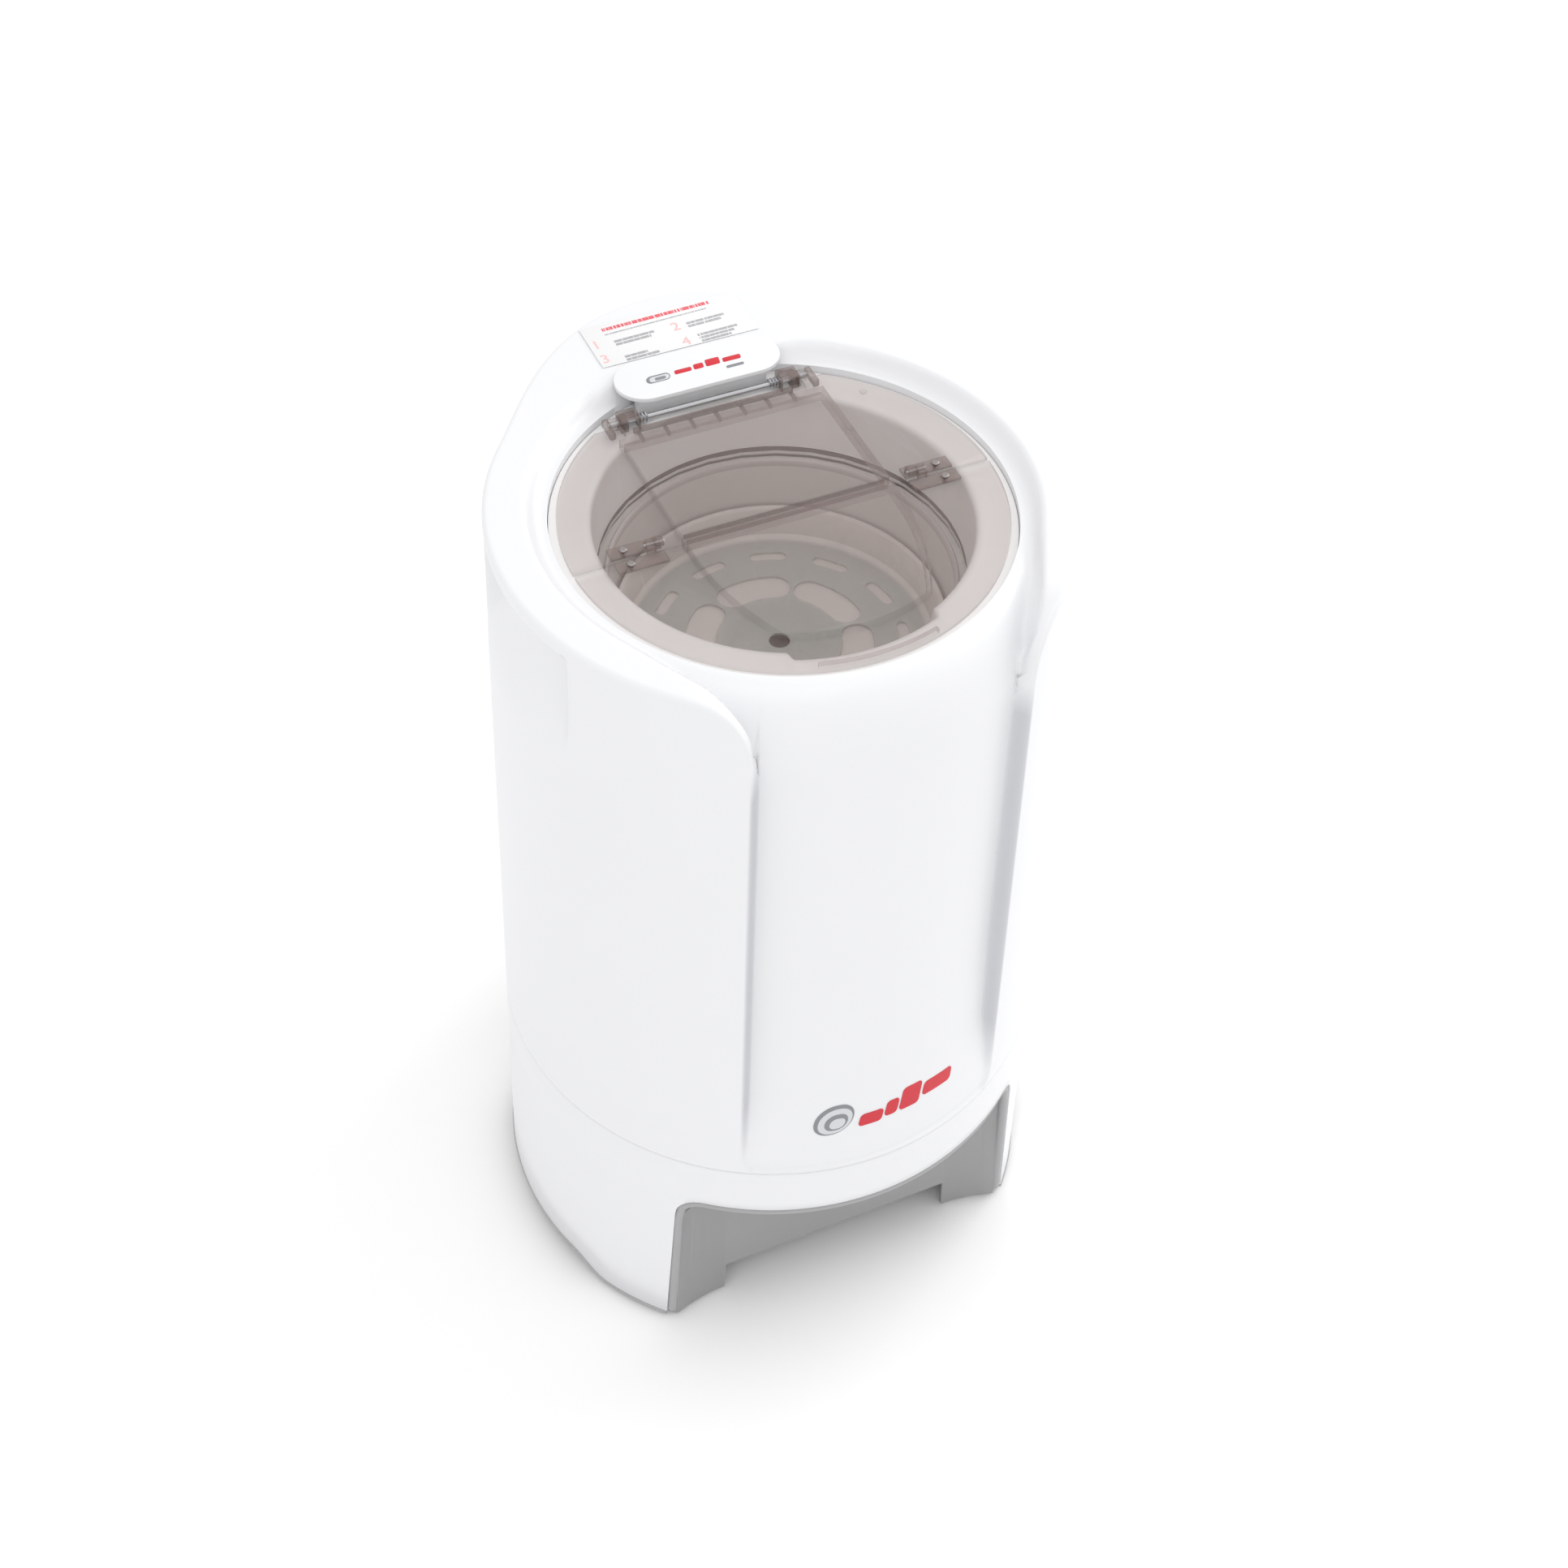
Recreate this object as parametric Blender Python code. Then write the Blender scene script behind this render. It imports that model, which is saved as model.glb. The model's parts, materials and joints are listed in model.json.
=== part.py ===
"""Portable spin dryer: a tall white cabinet with a folding see-through lid, over a spinning steel basket.

Metres, +Z up. The front faces -Y. The basket turns about a vertical line through the empty "machine".
"""

from math import asin, copysign, cos, hypot, pi, radians, sin, sqrt

import bmesh
import bpy
from mathutils import Matrix, Vector

# Overall sizes
RIM_Z = 0.660  # height of the rim above the floor
BODY_RADIUS = 0.2015  # outer radius at the floor
BODY_TAPER = 0.0135  # how much smaller the radius is at the rim
REAR_BULGE = 0.038  # how far the rear stands out past the circle
BULGE_HALF_ANGLE = radians(52)
WALL = 0.003
GAP = 0.0004  # clearance between pieces that meet
SLIDE_GAP = 0.0003  # radial clearance of pins, shafts and plungers

# Radii that fit into each other, from the basket outwards
BASKET_RADIUS = 0.1120
BASKET_WALL = 0.0012
DISC_RADIUS = BASKET_RADIUS - BASKET_WALL - 0.0020
DISC_FLOOR_RADIUS = DISC_RADIUS - 0.0088
COLLAR_RADIUS = BASKET_RADIUS + 0.0065
OPEN_RADIUS = COLLAR_RADIUS + 0.0022
OPEN_WIDENING = 0.0063  # the opening reaches further out under the lid's tab
OPEN_WIDE_ANGLE = radians(24)
TUB_RADIUS = BASKET_RADIUS + 0.0260
TUB_WALL = 0.0025
LID_RADIUS = OPEN_RADIUS + 0.0219
LIP_RADIUS = LID_RADIUS + 0.0054  # edge of the recess that the lid lies in
BAND_INNER = LIP_RADIUS + 0.0150  # inner edge of the flat rim band
BAND_INNER_REAR = LIP_RADIUS + 0.0050

# Heights that stack down from the rim
DECK_Z = RIM_Z - 0.0155
COLLAR_FOOT_Z = DECK_Z - 0.0405
TUB_TOP_Z = COLLAR_FOOT_Z - 0.0040
BASKET_TOP_Z = TUB_TOP_Z - 0.0015
DISC_RIM_Z = BASKET_TOP_Z - 0.0375
DISC_FLOOR_Z = DISC_RIM_Z - 0.0255
DISC_THICK = 0.002

# Cabinet
SEAM_Z = 0.208
PANEL_INSET = 0.012  # front panel, behind the wings
PANEL_HALF_ANGLE = radians(30)
PANEL_STEP = radians(0.9)
PANEL_FOOT = (SEAM_Z + 0.0050, SEAM_Z + 0.0230)  # heights between which the inset fades out
DOME_FOOT_Z = RIM_Z - 0.065  # where the panel starts to round over
DOME_TOP_Z = RIM_Z - 0.010
WING_CREST_Z = RIM_Z - 0.044  # the wing's front edge is upright up to here
WING_END_ANGLE = radians(12)  # arc over which the band comes down
WING_BLEND_ANGLE = radians(32)  # arc over which the band narrows
HAND_ANGLES = (radians(67), radians(112))
HAND_HEIGHTS = (RIM_Z - 0.105, RIM_Z - 0.047, RIM_Z - 0.014, RIM_Z - 0.0095)
HAND_DEPTH = 0.015

# Skirt and base
SKIRT_FOOT_Z = 0.008
ARCH_HALF_ANGLE = radians(43.5)
ARCH_TOP_Z = 0.1635
ARCH_LEAN = radians(1.8)  # how far each side edge of the arch leans outwards at the floor
ARCH_CORNER = 0.022
SIDE_RAISE = 0.012  # the lower edge is higher at each side, between these angles
SIDE_RAISE_ANGLES = (radians(61), radians(71), radians(112), radians(122))
KICK_Y = -0.675 * BODY_RADIUS
KICK_HALF_WIDTH = 0.0925
KICK_FOOT_Z = 0.034
KICK_FLARE = 0.0075
LIP_BAND = 0.005  # grey edge that lines the arch
BASE_FOOT_Z = 0.0045
BASE_TOP_Z = SEAM_Z - 0.012
BASE_WALL = 0.0035
BASE_EDGE_ANGLE = ARCH_HALF_ANGLE + radians(1.1)
SHELF_Z = 0.130
SHELF_INNER = BODY_RADIUS - 0.0715
SHELF_THICK = 0.004
FOOT_RING = BODY_RADIUS - 0.0255
FOOT_ANGLES = {"front_left": radians(-52), "front_right": radians(52),
               "rear_left": radians(-138), "rear_right": radians(138)}
FOOT_RADIUS = 0.011
FOOT_STEM_RADIUS = 0.005
BOSS_HEIGHT = 0.026
BOSS_WALL = 0.004
CORD_ENTRY = {"angle": radians(122), "z": 0.075, "hole": 0.0095}

# Lid
LID_BOTTOM_Z = DECK_Z + 0.0015
LID_THICK = 0.0027
LID_RAISED_Z = LID_BOTTOM_Z + 0.0100
FOLD_Y = -0.004
FOLD_Z = LID_RAISED_Z + 0.0008
FOLD_GAP = 0.0015
HINGE_Y = LIP_RADIUS - 0.0290
HINGE_Z = LID_BOTTOM_Z + 0.0040
LID_REAR_Y = HINGE_Y - 0.0020
LID_CUT_Y = HINGE_Y - 0.0065
LID_CUT_HALF = 0.0637
BRIDGE_HALF = LID_RADIUS - 0.0706  # half-width of the raised middle of the lid
BRIDGE_FRONT_HALF = 0.050
BRIDGE_REAR_Y = HINGE_Y - 0.0220
BRIDGE_FRONT_RADIUS = OPEN_RADIUS - 0.0037
BRIDGE_WALL = 0.0024
PIN_RADIUS = 0.002
KNUCKLE_RADIUS = 0.0042
KNUCKLE_LENGTH = 0.0060
FOLD_PIN_RADIUS = 0.001
FOLD_BARREL_RADIUS = 0.003
LEAF = {"x": (LID_RADIUS - 0.0586, LID_RADIUS - 0.0256), "depth": 0.0115, "low": 0.0004, "thick": 0.0020}
SCREW = {"x": LID_RADIUS - 0.0351, "y": 0.0068, "hole": 0.0016, "shank": 0.0012, "head": 0.0027,
         "height": 0.0013}
GRIP_HALF = 0.040

# Console
BADGE_Y = HINGE_Y + 0.0190
BADGE = {"half_width": 0.0575, "half_depth": 0.020, "low": RIM_Z + SLIDE_GAP, "high": RIM_Z + 0.0040,
         "edge": 0.0012}
LABEL = {"half_width": 0.056, "rear_y": BODY_RADIUS - BODY_TAPER + REAR_BULGE - 0.018, "front_y": BADGE_Y + 0.026,
         "thick": 0.0004}
PLUNGER = {"ring": LID_RADIUS - 0.0051, "angle": radians(133), "radius": 0.0025, "length": 0.0177}

# Drive, from the floor up
SHAFT_RADIUS = 0.006
SHAFT_BORE = SHAFT_RADIUS + SLIDE_GAP
BEARING_RADIUS = SHAFT_BORE + 0.007
BEARING_SEAT = BEARING_RADIUS + SLIDE_GAP
MOTOR_RADIUS = 0.062
MOTOR_WALL = 0.0025
MOTOR_SPAN = (0.044, 0.140)
SHAFT_FOOT_Z = MOTOR_SPAN[0] + 0.006
SPIDER_Z = (MOTOR_SPAN[1] + 0.0025, MOTOR_SPAN[1] + 0.0065)
SPIDER_RADIUS = TUB_RADIUS - 0.0530
SPIDER_ARM = 0.013
BRAKE_RADIUS = 0.040
BRAKE_SPAN = (SPIDER_Z[1] + 0.0040, SPIDER_Z[1] + 0.0200)
BRAKE_GAP = 0.004
LEVER_PIVOT = Vector((0.030, SPIDER_RADIUS - 0.019, 0.0))
LEVER_SPAN = (BRAKE_SPAN[0] + 0.0030, BRAKE_SPAN[0] + 0.0090)
LEVER_PIN_RADIUS = 0.003
TUB_FOOT_Z = BASE_TOP_Z + 0.0025
BASKET_FOOT_Z = TUB_FOOT_Z + 0.0235
MOUNT_RING = BODY_RADIUS - 0.0515
MOUNT_ANGLES = {"rear": pi, "left": radians(-62), "right": radians(62)}
MOUNT_RADIUS = 0.012
CAPACITOR_RADIUS = 0.016
DRAIN_RADIUS = 0.0102

STEPS = 32
INNER_STEPS = 18  # pieces that the covers hide


def front_reach():
    return BODY_RADIUS - BODY_TAPER * ARCH_TOP_Z / RIM_Z


def rear_reach():
    return body_radius(pi, SKIRT_FOOT_Z)


def bulge(angle):
    """How far the outline stands out past the circle, at an angle from the front."""
    past = max(0.0, abs(angle) - (pi - BULGE_HALF_ANGLE))
    return REAR_BULGE * 0.5 * (1 - cos(pi * past / BULGE_HALF_ANGLE))


def body_radius(angle, z):
    return BODY_RADIUS - BODY_TAPER * z / RIM_Z + bulge(angle)


def around(radius, angle, z):
    """The point at a radius and an angle from the front."""
    return Vector((radius * sin(angle), -radius * cos(angle), z))


def ease(value, low, high):
    """0 below low, 1 above high and a smooth rise between."""
    t = min(1.0, max(0.0, (value - low) / (high - low)))
    return t * t * (3 - 2 * t)


# Scene, empties and materials


def clear_scene():
    for thing in list(bpy.data.objects):
        bpy.data.objects.remove(thing, do_unlink=True)


def empty(name, place, parent=None):
    marker = bpy.data.objects.new(name, None)
    bpy.context.scene.collection.objects.link(marker)
    marker.parent = parent
    marker.location = Vector(place) - (Vector(parent["place"]) if parent else Vector())
    marker["place"] = tuple(place) if parent else (0.0, 0.0, 0.0)
    return marker


def plain(name, colour, roughness, metallic=0.0, alpha=1.0):
    material = bpy.data.materials.new(name)
    material.use_nodes = True
    shader = material.node_tree.nodes["Principled BSDF"]
    shader.inputs["Base Color"].default_value = (*colour, 1.0)
    shader.inputs["Roughness"].default_value = roughness
    shader.inputs["Metallic"].default_value = metallic
    shader.inputs["Alpha"].default_value = alpha
    material.diffuse_color = (*colour, alpha)
    return material


# Mesh helpers. Every shape is given in the machine's frame and stored about its joint's marker.


def finish(name, mesh, material, joint, sharp=35):
    bmesh.ops.recalc_face_normals(mesh, faces=mesh.faces)
    data = bpy.data.meshes.new(name)
    mesh.to_mesh(data)
    mesh.free()
    data.transform(Matrix.Translation(-Vector(joint["place"])))
    data.shade_smooth()
    data.set_sharp_from_angle(angle=radians(sharp))
    thing = bpy.data.objects.new(name, data)
    bpy.context.scene.collection.objects.link(thing)
    thing.parent = joint
    if material:
        data.materials.append(material)
    else:
        thing.hide_render = True
        thing.display_type = "WIRE"
    return thing


def loft(name, loops, material, joint, ring=False):
    """Skins a list of closed loops. A ring joins the last loop to the first, else both ends are capped."""
    mesh = bmesh.new()
    rows = [[mesh.verts.new(point) for point in loop] for loop in loops]
    pairs = list(zip(rows, rows[1:])) + ([(rows[-1], rows[0])] if ring else [])
    for low, high in pairs:
        for i in range(len(low)):
            j = (i + 1) % len(low)
            mesh.faces.new((low[i], low[j], high[j], high[i]))
    if not ring:
        mesh.faces.new(rows[0])
        mesh.faces.new(rows[-1])
    return finish(name, mesh, material, joint)


def circle(radius, z, centre=(0.0, 0.0), steps=STEPS):
    return [(centre[0] + radius * sin(2 * pi * i / steps), centre[1] - radius * cos(2 * pi * i / steps), z)
            for i in range(steps)]


def turned(name, profile, material, joint, centre=(0.0, 0.0), steps=STEPS, ring=True):
    """Turns a profile of (radius, height) points about a vertical axis."""
    loops = [circle(radius, z, centre, steps) for radius, z in profile]
    return loft(name, loops, material, joint, ring)


def sleeve(name, outer, inner, low, high, material, joint, centre=(0.0, 0.0), steps=INNER_STEPS):
    profile = [(inner, low), (outer, low), (outer, high), (inner, high)]
    return turned(name, profile, material, joint, centre, steps)


def prism(name, outline, low, high, material, joint):
    return loft(name, [[(x, y, z) for x, y in outline] for z in (low, high)], material, joint)


def box(name, low, high, material, joint):
    outline = [(low[0], low[1]), (high[0], low[1]), (high[0], high[1]), (low[0], high[1])]
    return prism(name, outline, low[2], high[2], material, joint)


def hex_loop(corner, steps=18):
    """A hexagon of the given corner radius, with as many points as a circle of the same steps."""
    points = []
    for i in range(steps):
        turn = 2 * pi * i / steps
        radius = corner * cos(pi / 6) / cos(turn % (pi / 3) - pi / 6)
        points.append((radius * sin(turn), -radius * cos(turn)))
    return points


def rod(name, start, end, radius, material, joint, steps=12):
    """A round bar between two points."""
    start, end = Vector(start), Vector(end)
    along = (end - start).normalized()
    side = along.orthogonal().normalized()
    other = along.cross(side)
    loops = [[point + radius * (cos(2 * pi * i / steps) * side + sin(2 * pi * i / steps) * other)
              for i in range(steps)] for point in (start, end)]
    return loft(name, loops, material, joint)


def coil(name, centre, axis, radius, wire, length, turns, material, joint, per_turn=8, sides=5):
    """A helical spring whose axis starts at centre and runs along x or z."""
    loops = []
    for step in range(int(turns * per_turn) + 1):
        angle = 2 * pi * step / per_turn
        run = length * step / (turns * per_turn)
        loop = []
        for i in range(sides):
            turn = 2 * pi * i / sides
            out = radius + wire * cos(turn)
            across, up, along = out * cos(angle), out * sin(angle), run + wire * sin(turn)
            place = (along, across, up) if axis == "x" else (across, up, along)
            loop.append(Vector(centre) + Vector(place))
        loops.append(loop)
    return loft(name, loops, material, joint)


def combine(thing, other, operation):
    modifier = thing.modifiers.new(operation.lower(), "BOOLEAN")
    modifier.operation = operation
    modifier.solver = "EXACT"
    modifier.object = other


def cut(thing, *others):
    for other in others:
        combine(thing, other, "DIFFERENCE")


def add(thing, *others):
    for other in others:
        combine(thing, other, "UNION")


def arc_slot(radius, width, half_angle, middle, end_steps=4, side_steps=3):
    """Outline of a slot that follows an arc about the axis and has round ends."""
    points = []
    for side in (1, -1):
        for i in range(side_steps + 1):
            angle = middle + side * half_angle * (2 * i / side_steps - 1)
            spot = around(radius + side * width / 2, angle, 0)
            points.append((spot.x, spot.y))
        end = middle + side * half_angle
        tip = around(radius, end, 0)
        for i in range(1, end_steps):
            turn = pi * i / end_steps
            outward = Vector((sin(end), -cos(end)))
            onward = Vector((cos(end), sin(end))) * side
            spot = Vector((tip.x, tip.y)) + width / 2 * (side * cos(turn) * outward + sin(turn) * onward)
            points.append((spot.x, spot.y))
    return points


def many(name, outlines, low, high, joint):
    """One cutter made of several separate prisms."""
    mesh = bmesh.new()
    for outline in outlines:
        rows = [[mesh.verts.new((x, y, z)) for x, y in outline] for z in (low, high)]
        for i in range(len(outline)):
            j = (i + 1) % len(outline)
            mesh.faces.new((rows[0][i], rows[0][j], rows[1][j], rows[1][i]))
        mesh.faces.new(rows[0])
        mesh.faces.new(rows[1])
    return finish(name, mesh, None, joint)


# Cabinet


def shell_angles():
    wide = [radians(7.5 * i) for i in range(25)]
    step = [PANEL_HALF_ANGLE - PANEL_STEP, PANEL_HALF_ANGLE, PANEL_HALF_ANGLE + radians(3)]
    ends = [HAND_ANGLES[0] - radians(0.6), HAND_ANGLES[0] + radians(1.5),
            HAND_ANGLES[1] - radians(1.5), HAND_ANGLES[1] + radians(0.6)]
    taken = step + ends
    half = taken + [a for a in wide if all(abs(a - b) > radians(1.2) for b in taken)]
    inside = sorted(a for a in half if 0 < a < pi)
    return [0.0] + inside + [pi] + [-a for a in reversed(inside)]


def hand_depth(angle, z):
    if not HAND_ANGLES[0] <= abs(angle) <= HAND_ANGLES[1]:
        return 0.0
    low, full, top, _ = HAND_HEIGHTS
    return HAND_DEPTH * ease(z, low, full) if z <= top else 0.0


def in_panel(angle):
    return abs(angle) < PANEL_HALF_ANGLE - PANEL_STEP / 2


def panel_inset(angle, z):
    return PANEL_INSET * ease(z, *PANEL_FOOT) if in_panel(angle) else 0.0


def wing_edge(angle):
    """Height of the outer edge of the rim band: it comes down in a quarter round at the wing's end."""
    past = (abs(angle) - PANEL_HALF_ANGLE) / WING_END_ANGLE
    return WING_CREST_Z + (RIM_Z - WING_CREST_Z) * sqrt(max(0.0, 1 - max(0.0, 1 - past) ** 2))


def dome(turn):
    """The big rounding from the front panel to the lid's recess, by angle from its top."""
    run = BODY_RADIUS - BODY_TAPER * DOME_FOOT_Z / RIM_Z - PANEL_INSET - LIP_RADIUS
    return LIP_RADIUS + run * sin(turn), DOME_FOOT_Z + (DOME_TOP_Z - DOME_FOOT_Z) * cos(turn)


def dome_turn(radius):
    run = dome(pi / 2)[0] - LIP_RADIUS
    return asin(min(0.97, max(0.05, (radius - LIP_RADIUS) / run)))


def band_inner(angle):
    outer = body_radius(0, RIM_Z) - 0.0015
    narrow = max(0.0, 1 - (abs(angle) - PANEL_HALF_ANGLE) / WING_BLEND_ANGLE) ** 2
    rear = ease(abs(angle), radians(150), radians(164))
    return BAND_INNER + (outer - BAND_INNER) * narrow - (BAND_INNER - BAND_INNER_REAR) * rear


def cabinet_section(angle):
    """Closed section of the shell: up the outside, over the rim to the lip, and back down inside."""
    third = (PANEL_FOOT[1] - PANEL_FOOT[0]) / 3
    low_side = [SEAM_Z + GAP, PANEL_FOOT[0], PANEL_FOOT[0] + third, PANEL_FOOT[1] - third, PANEL_FOOT[1],
                (SEAM_Z + DOME_FOOT_Z) / 2]
    outer = []
    if in_panel(angle):
        for z in low_side + [DOME_FOOT_Z]:
            outer.append((body_radius(angle, z) - panel_inset(angle, z), z))
        for turn in (84, 78, 72, 68, 64, 59, 54, 49, 44):
            outer.append(dome(radians(turn)))
        last_turn = radians(39)
    else:
        edge = wing_edge(angle)
        hand_low, hand_full, hand_top, hand_roof = HAND_HEIGHTS
        side = low_side + [hand_low, (hand_low + hand_full) / 2, hand_full, hand_top, hand_roof]
        for i, z in enumerate(side):
            z = min(z, edge - 0.0045 - 0.0008 * (len(side) - i))
            outer.append((body_radius(angle, z) - hand_depth(angle, z), z))
        rim = body_radius(angle, edge)
        inner = band_inner(angle)
        outer += [(rim, edge - 0.0045), (rim - 0.001, edge - 0.0015), (rim - 0.0035, edge)]
        inner = min(inner, rim - 0.006)
        outer.append((inner, edge))
        step = max(inner - 0.010, LIP_RADIUS + 0.002)
        last_turn = dome_turn(step)
        low_radius, low_z = dome(last_turn)
        outer.append((0.6 * inner + 0.4 * low_radius, 0.72 * edge + 0.28 * min(low_z, edge - 0.0005)))
    for share in (1.0, 0.66, 0.33, 0.0):
        radius, z = dome(last_turn * share)
        if not in_panel(angle):
            z = min(z, wing_edge(angle) - 0.0008)
        outer.append((radius, z))
    back = [(LIP_RADIUS, DECK_Z - WALL)]
    for i in (-2, -3, -4):
        back.append((outer[i][0], outer[i][1] - WALL))
    if in_panel(angle):
        back += [(outer[i][0] - 0.5 * WALL, outer[i][1] - 0.9 * WALL) for i in (14, 12)]
        back.append((outer[7][0] - WALL, outer[7][1]))
    else:
        depth = hand_depth(angle, HAND_HEIGHTS[2])
        rim = body_radius(angle, wing_edge(angle))
        deep = rim - WALL - depth
        back.append((min(outer[14][0], deep - 0.003), wing_edge(angle) - WALL))
        back.append((deep - 0.001, wing_edge(angle) - WALL))
        back.append((deep, min(HAND_HEIGHTS[1], wing_edge(angle) - 2 * WALL)))
    for i in (6, 5, 4, 2, 0):
        z = outer[i][1]
        back.append((outer[i][0] - WALL, z))
    return outer + back


def make_cabinet_shell(joint, finish_material):
    angles = shell_angles()
    sections = [cabinet_section(angle) for angle in angles]
    loops = [[around(*(section[k][0], angle, section[k][1])) for angle, section in zip(angles, sections)]
             for k in range(len(sections[0]))]
    return loft("cabinet_shell", loops, finish_material, joint, ring=True)


# Skirt and base


def skirt_foot(angle):
    """Height of the skirt's lower edge: the front arch, with rounded corners, and a shallow rise at each side."""
    inside = (ARCH_HALF_ANGLE - abs(angle)) * BODY_RADIUS
    if inside >= 0:
        corner = max(0.0, 1 - inside / ARCH_CORNER)
        return ARCH_TOP_Z - ARCH_CORNER * (1 - sqrt(1 - corner ** 2))
    low, full, still_full, end = SIDE_RAISE_ANGLES
    return SKIRT_FOOT_Z + SIDE_RAISE * ease(abs(angle), low, full) * (1 - ease(abs(angle), still_full, end))


def skirt_angles():
    corner = [ARCH_HALF_ANGLE - ARCH_CORNER * s / BODY_RADIUS for s in (1.0, 0.6, 0.3, 0.1, 0.0)]
    half = corner + [ARCH_HALF_ANGLE + radians(0.4)] + [radians(6 * i) for i in range(1, 30)
                                                       if not radians(35) < radians(6 * i) < radians(46)]
    inside = sorted(half)
    return [0.0] + inside + [pi] + [-a for a in reversed(inside)]


def leaned(angle, z):
    """The arch's side edges lean outwards towards the floor."""
    near = max(0.0, 1 - abs(abs(angle) - ARCH_HALF_ANGLE) / radians(14))
    return angle + copysign(ARCH_LEAN, angle) * near * max(0.0, 1 - z / ARCH_TOP_Z)


def make_lower_skirt(joint, material):
    angles = skirt_angles()
    top = SEAM_Z - GAP
    loops = []
    for inset, zs in ((0, (0, 0.5, 1)), (WALL, (1, 0))):
        for share in zs:
            loop = []
            for angle in angles:
                z = skirt_foot(angle) * (1 - share) + top * share
                loop.append(around(body_radius(angle, z) - inset, leaned(angle, z), z))
            loops.append(loop)
    return loft("lower_skirt", loops, material, joint, ring=True)


def base_outline():
    """Plan of the grey base, as (x, y, height of its lower edge): round behind, flat across the kick wall."""
    rim = body_radius(ARCH_HALF_ANGLE, 0)
    points = []
    degrees = (48, 54, 60, 66, 72, 84, 96, 108, 114, 120, 132, 144, 156, 162, 168, 174)
    front = [BASE_EDGE_ANGLE] + [radians(a) for a in degrees]
    for angle in front:
        lift = BASE_FOOT_Z - SKIRT_FOOT_Z + skirt_foot(angle)
        points.append((angle, body_radius(angle, 0) - WALL - GAP, lift))
    right = [(around(radius, angle, 0).x, around(radius, angle, 0).y, z) for angle, radius, z in points]
    corner = around(rim - WALL - GAP, BASE_EDGE_ANGLE, 0)
    flare = []
    for share in (0.25, 0.5, 0.75, 1.0):
        x = KICK_HALF_WIDTH + 0.0015 + (corner.x - 0.005 - KICK_HALF_WIDTH) * share
        flare.append((x, KICK_Y - KICK_FLARE * share ** 2, BASE_FOOT_Z))
    kick = [(KICK_HALF_WIDTH * s, KICK_Y, KICK_FOOT_Z) for s in (0.0, 0.5, 1.0)]
    kick.append((KICK_HALF_WIDTH + 0.0012, KICK_Y, BASE_FOOT_Z))
    half = kick + flare + right
    rear = (0.0, body_radius(pi, 0) - WALL - GAP, BASE_FOOT_Z)
    return half + [rear] + [(-x, y, z) for x, y, z in reversed(half[1:])]


def inset_outline(points, amount):
    """Moves each point of a counter-clockwise outline inwards."""
    moved = []
    for i, point in enumerate(points):
        before, after = points[i - 1], points[(i + 1) % len(points)]
        along = Vector((after[0] - before[0], after[1] - before[1])).normalized()
        moved.append((point[0] - along.y * amount, point[1] + along.x * amount, point[2]))
    return moved


def tapered(points, z_of):
    """A loop of the base at the heights that z_of gives, drawn in with the body's taper."""
    loop = []
    for x, y, foot in points:
        z = z_of(foot)
        near_rim = ease(hypot(x, y), -KICK_Y + 0.02, BODY_RADIUS - 2 * WALL)
        share = 1 - BODY_TAPER * z / RIM_Z / BODY_RADIUS * near_rim
        loop.append((x * share, y * share, z))
    return loop


def arch_band(joint):
    """Ceiling of the kick recess, whose outer edge shows as a grey line under the skirt's arch."""
    top, low = ARCH_TOP_Z - GAP, ARCH_TOP_Z - LIP_BAND
    reach = body_radius(0, ARCH_TOP_Z) - 0.001
    half = ARCH_HALF_ANGLE - ARCH_CORNER / BODY_RADIUS - radians(0.5)
    arc = [around(reach, -half + 2 * half * i / 14, 0) for i in range(15)]
    outline = [(p.x, p.y) for p in arc] + [(arc[-1].x, KICK_Y + 0.002), (arc[0].x, KICK_Y + 0.002)]
    return prism("cut_arch_band", outline, low, top, None, joint)


def make_base_frame(joint, material):
    outline = base_outline()
    inner = inset_outline(outline, BASE_WALL)
    loops = [tapered(outline, lambda foot: foot), tapered(outline, lambda foot: BASE_TOP_Z),
             tapered(inner, lambda foot: BASE_TOP_Z), tapered(inner, lambda foot: foot)]
    base = loft("base_frame", loops, material, joint, ring=True)
    shelf_edge = inset_outline(outline, BASE_WALL / 2)
    shelf = prism("cut_shelf", [(x * 0.975, y * 0.975 if y > 0 else y) for x, y, _ in shelf_edge],
                  SHELF_Z, SHELF_Z + SHELF_THICK, None, joint)
    hole = prism("cut_shelf_hole", [(x, y) for x, y, _ in circle(SHELF_INNER, 0)],
                 SHELF_Z - 0.01, SHELF_Z + 0.02, None, joint)
    cut(shelf, hole)
    add(base, shelf, arch_band(joint))
    for name, angle in FOOT_ANGLES.items():
        spot = around(FOOT_RING, angle, 0)
        outer = FOOT_RADIUS + BOSS_WALL
        boss = turned(f"cut_boss_{name}", [(outer, BASE_FOOT_Z), (outer, BOSS_HEIGHT)], None, joint,
                      (spot.x, spot.y), 14, ring=False)
        web = body_radius(angle, 0) - WALL - GAP - BASE_WALL / 2
        tie = around(web, angle, 0)
        side = Vector((cos(angle), sin(angle), 0)) * BOSS_WALL
        corners = [spot - side, tie - side, tie + side, spot + side]
        rib = prism(f"cut_rib_{name}", [(p.x, p.y) for p in corners], BASE_FOOT_Z + 0.002, BOSS_HEIGHT - 0.002,
                    None, joint)
        add(base, boss, rib)
        bore = FOOT_STEM_RADIUS + SLIDE_GAP
        socket = turned(f"cut_socket_{name}", [(bore, -0.01), (bore, BOSS_HEIGHT - 0.006)], None, joint,
                        (spot.x, spot.y), 14, ring=False)
        cut(base, socket)
    return base


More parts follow.
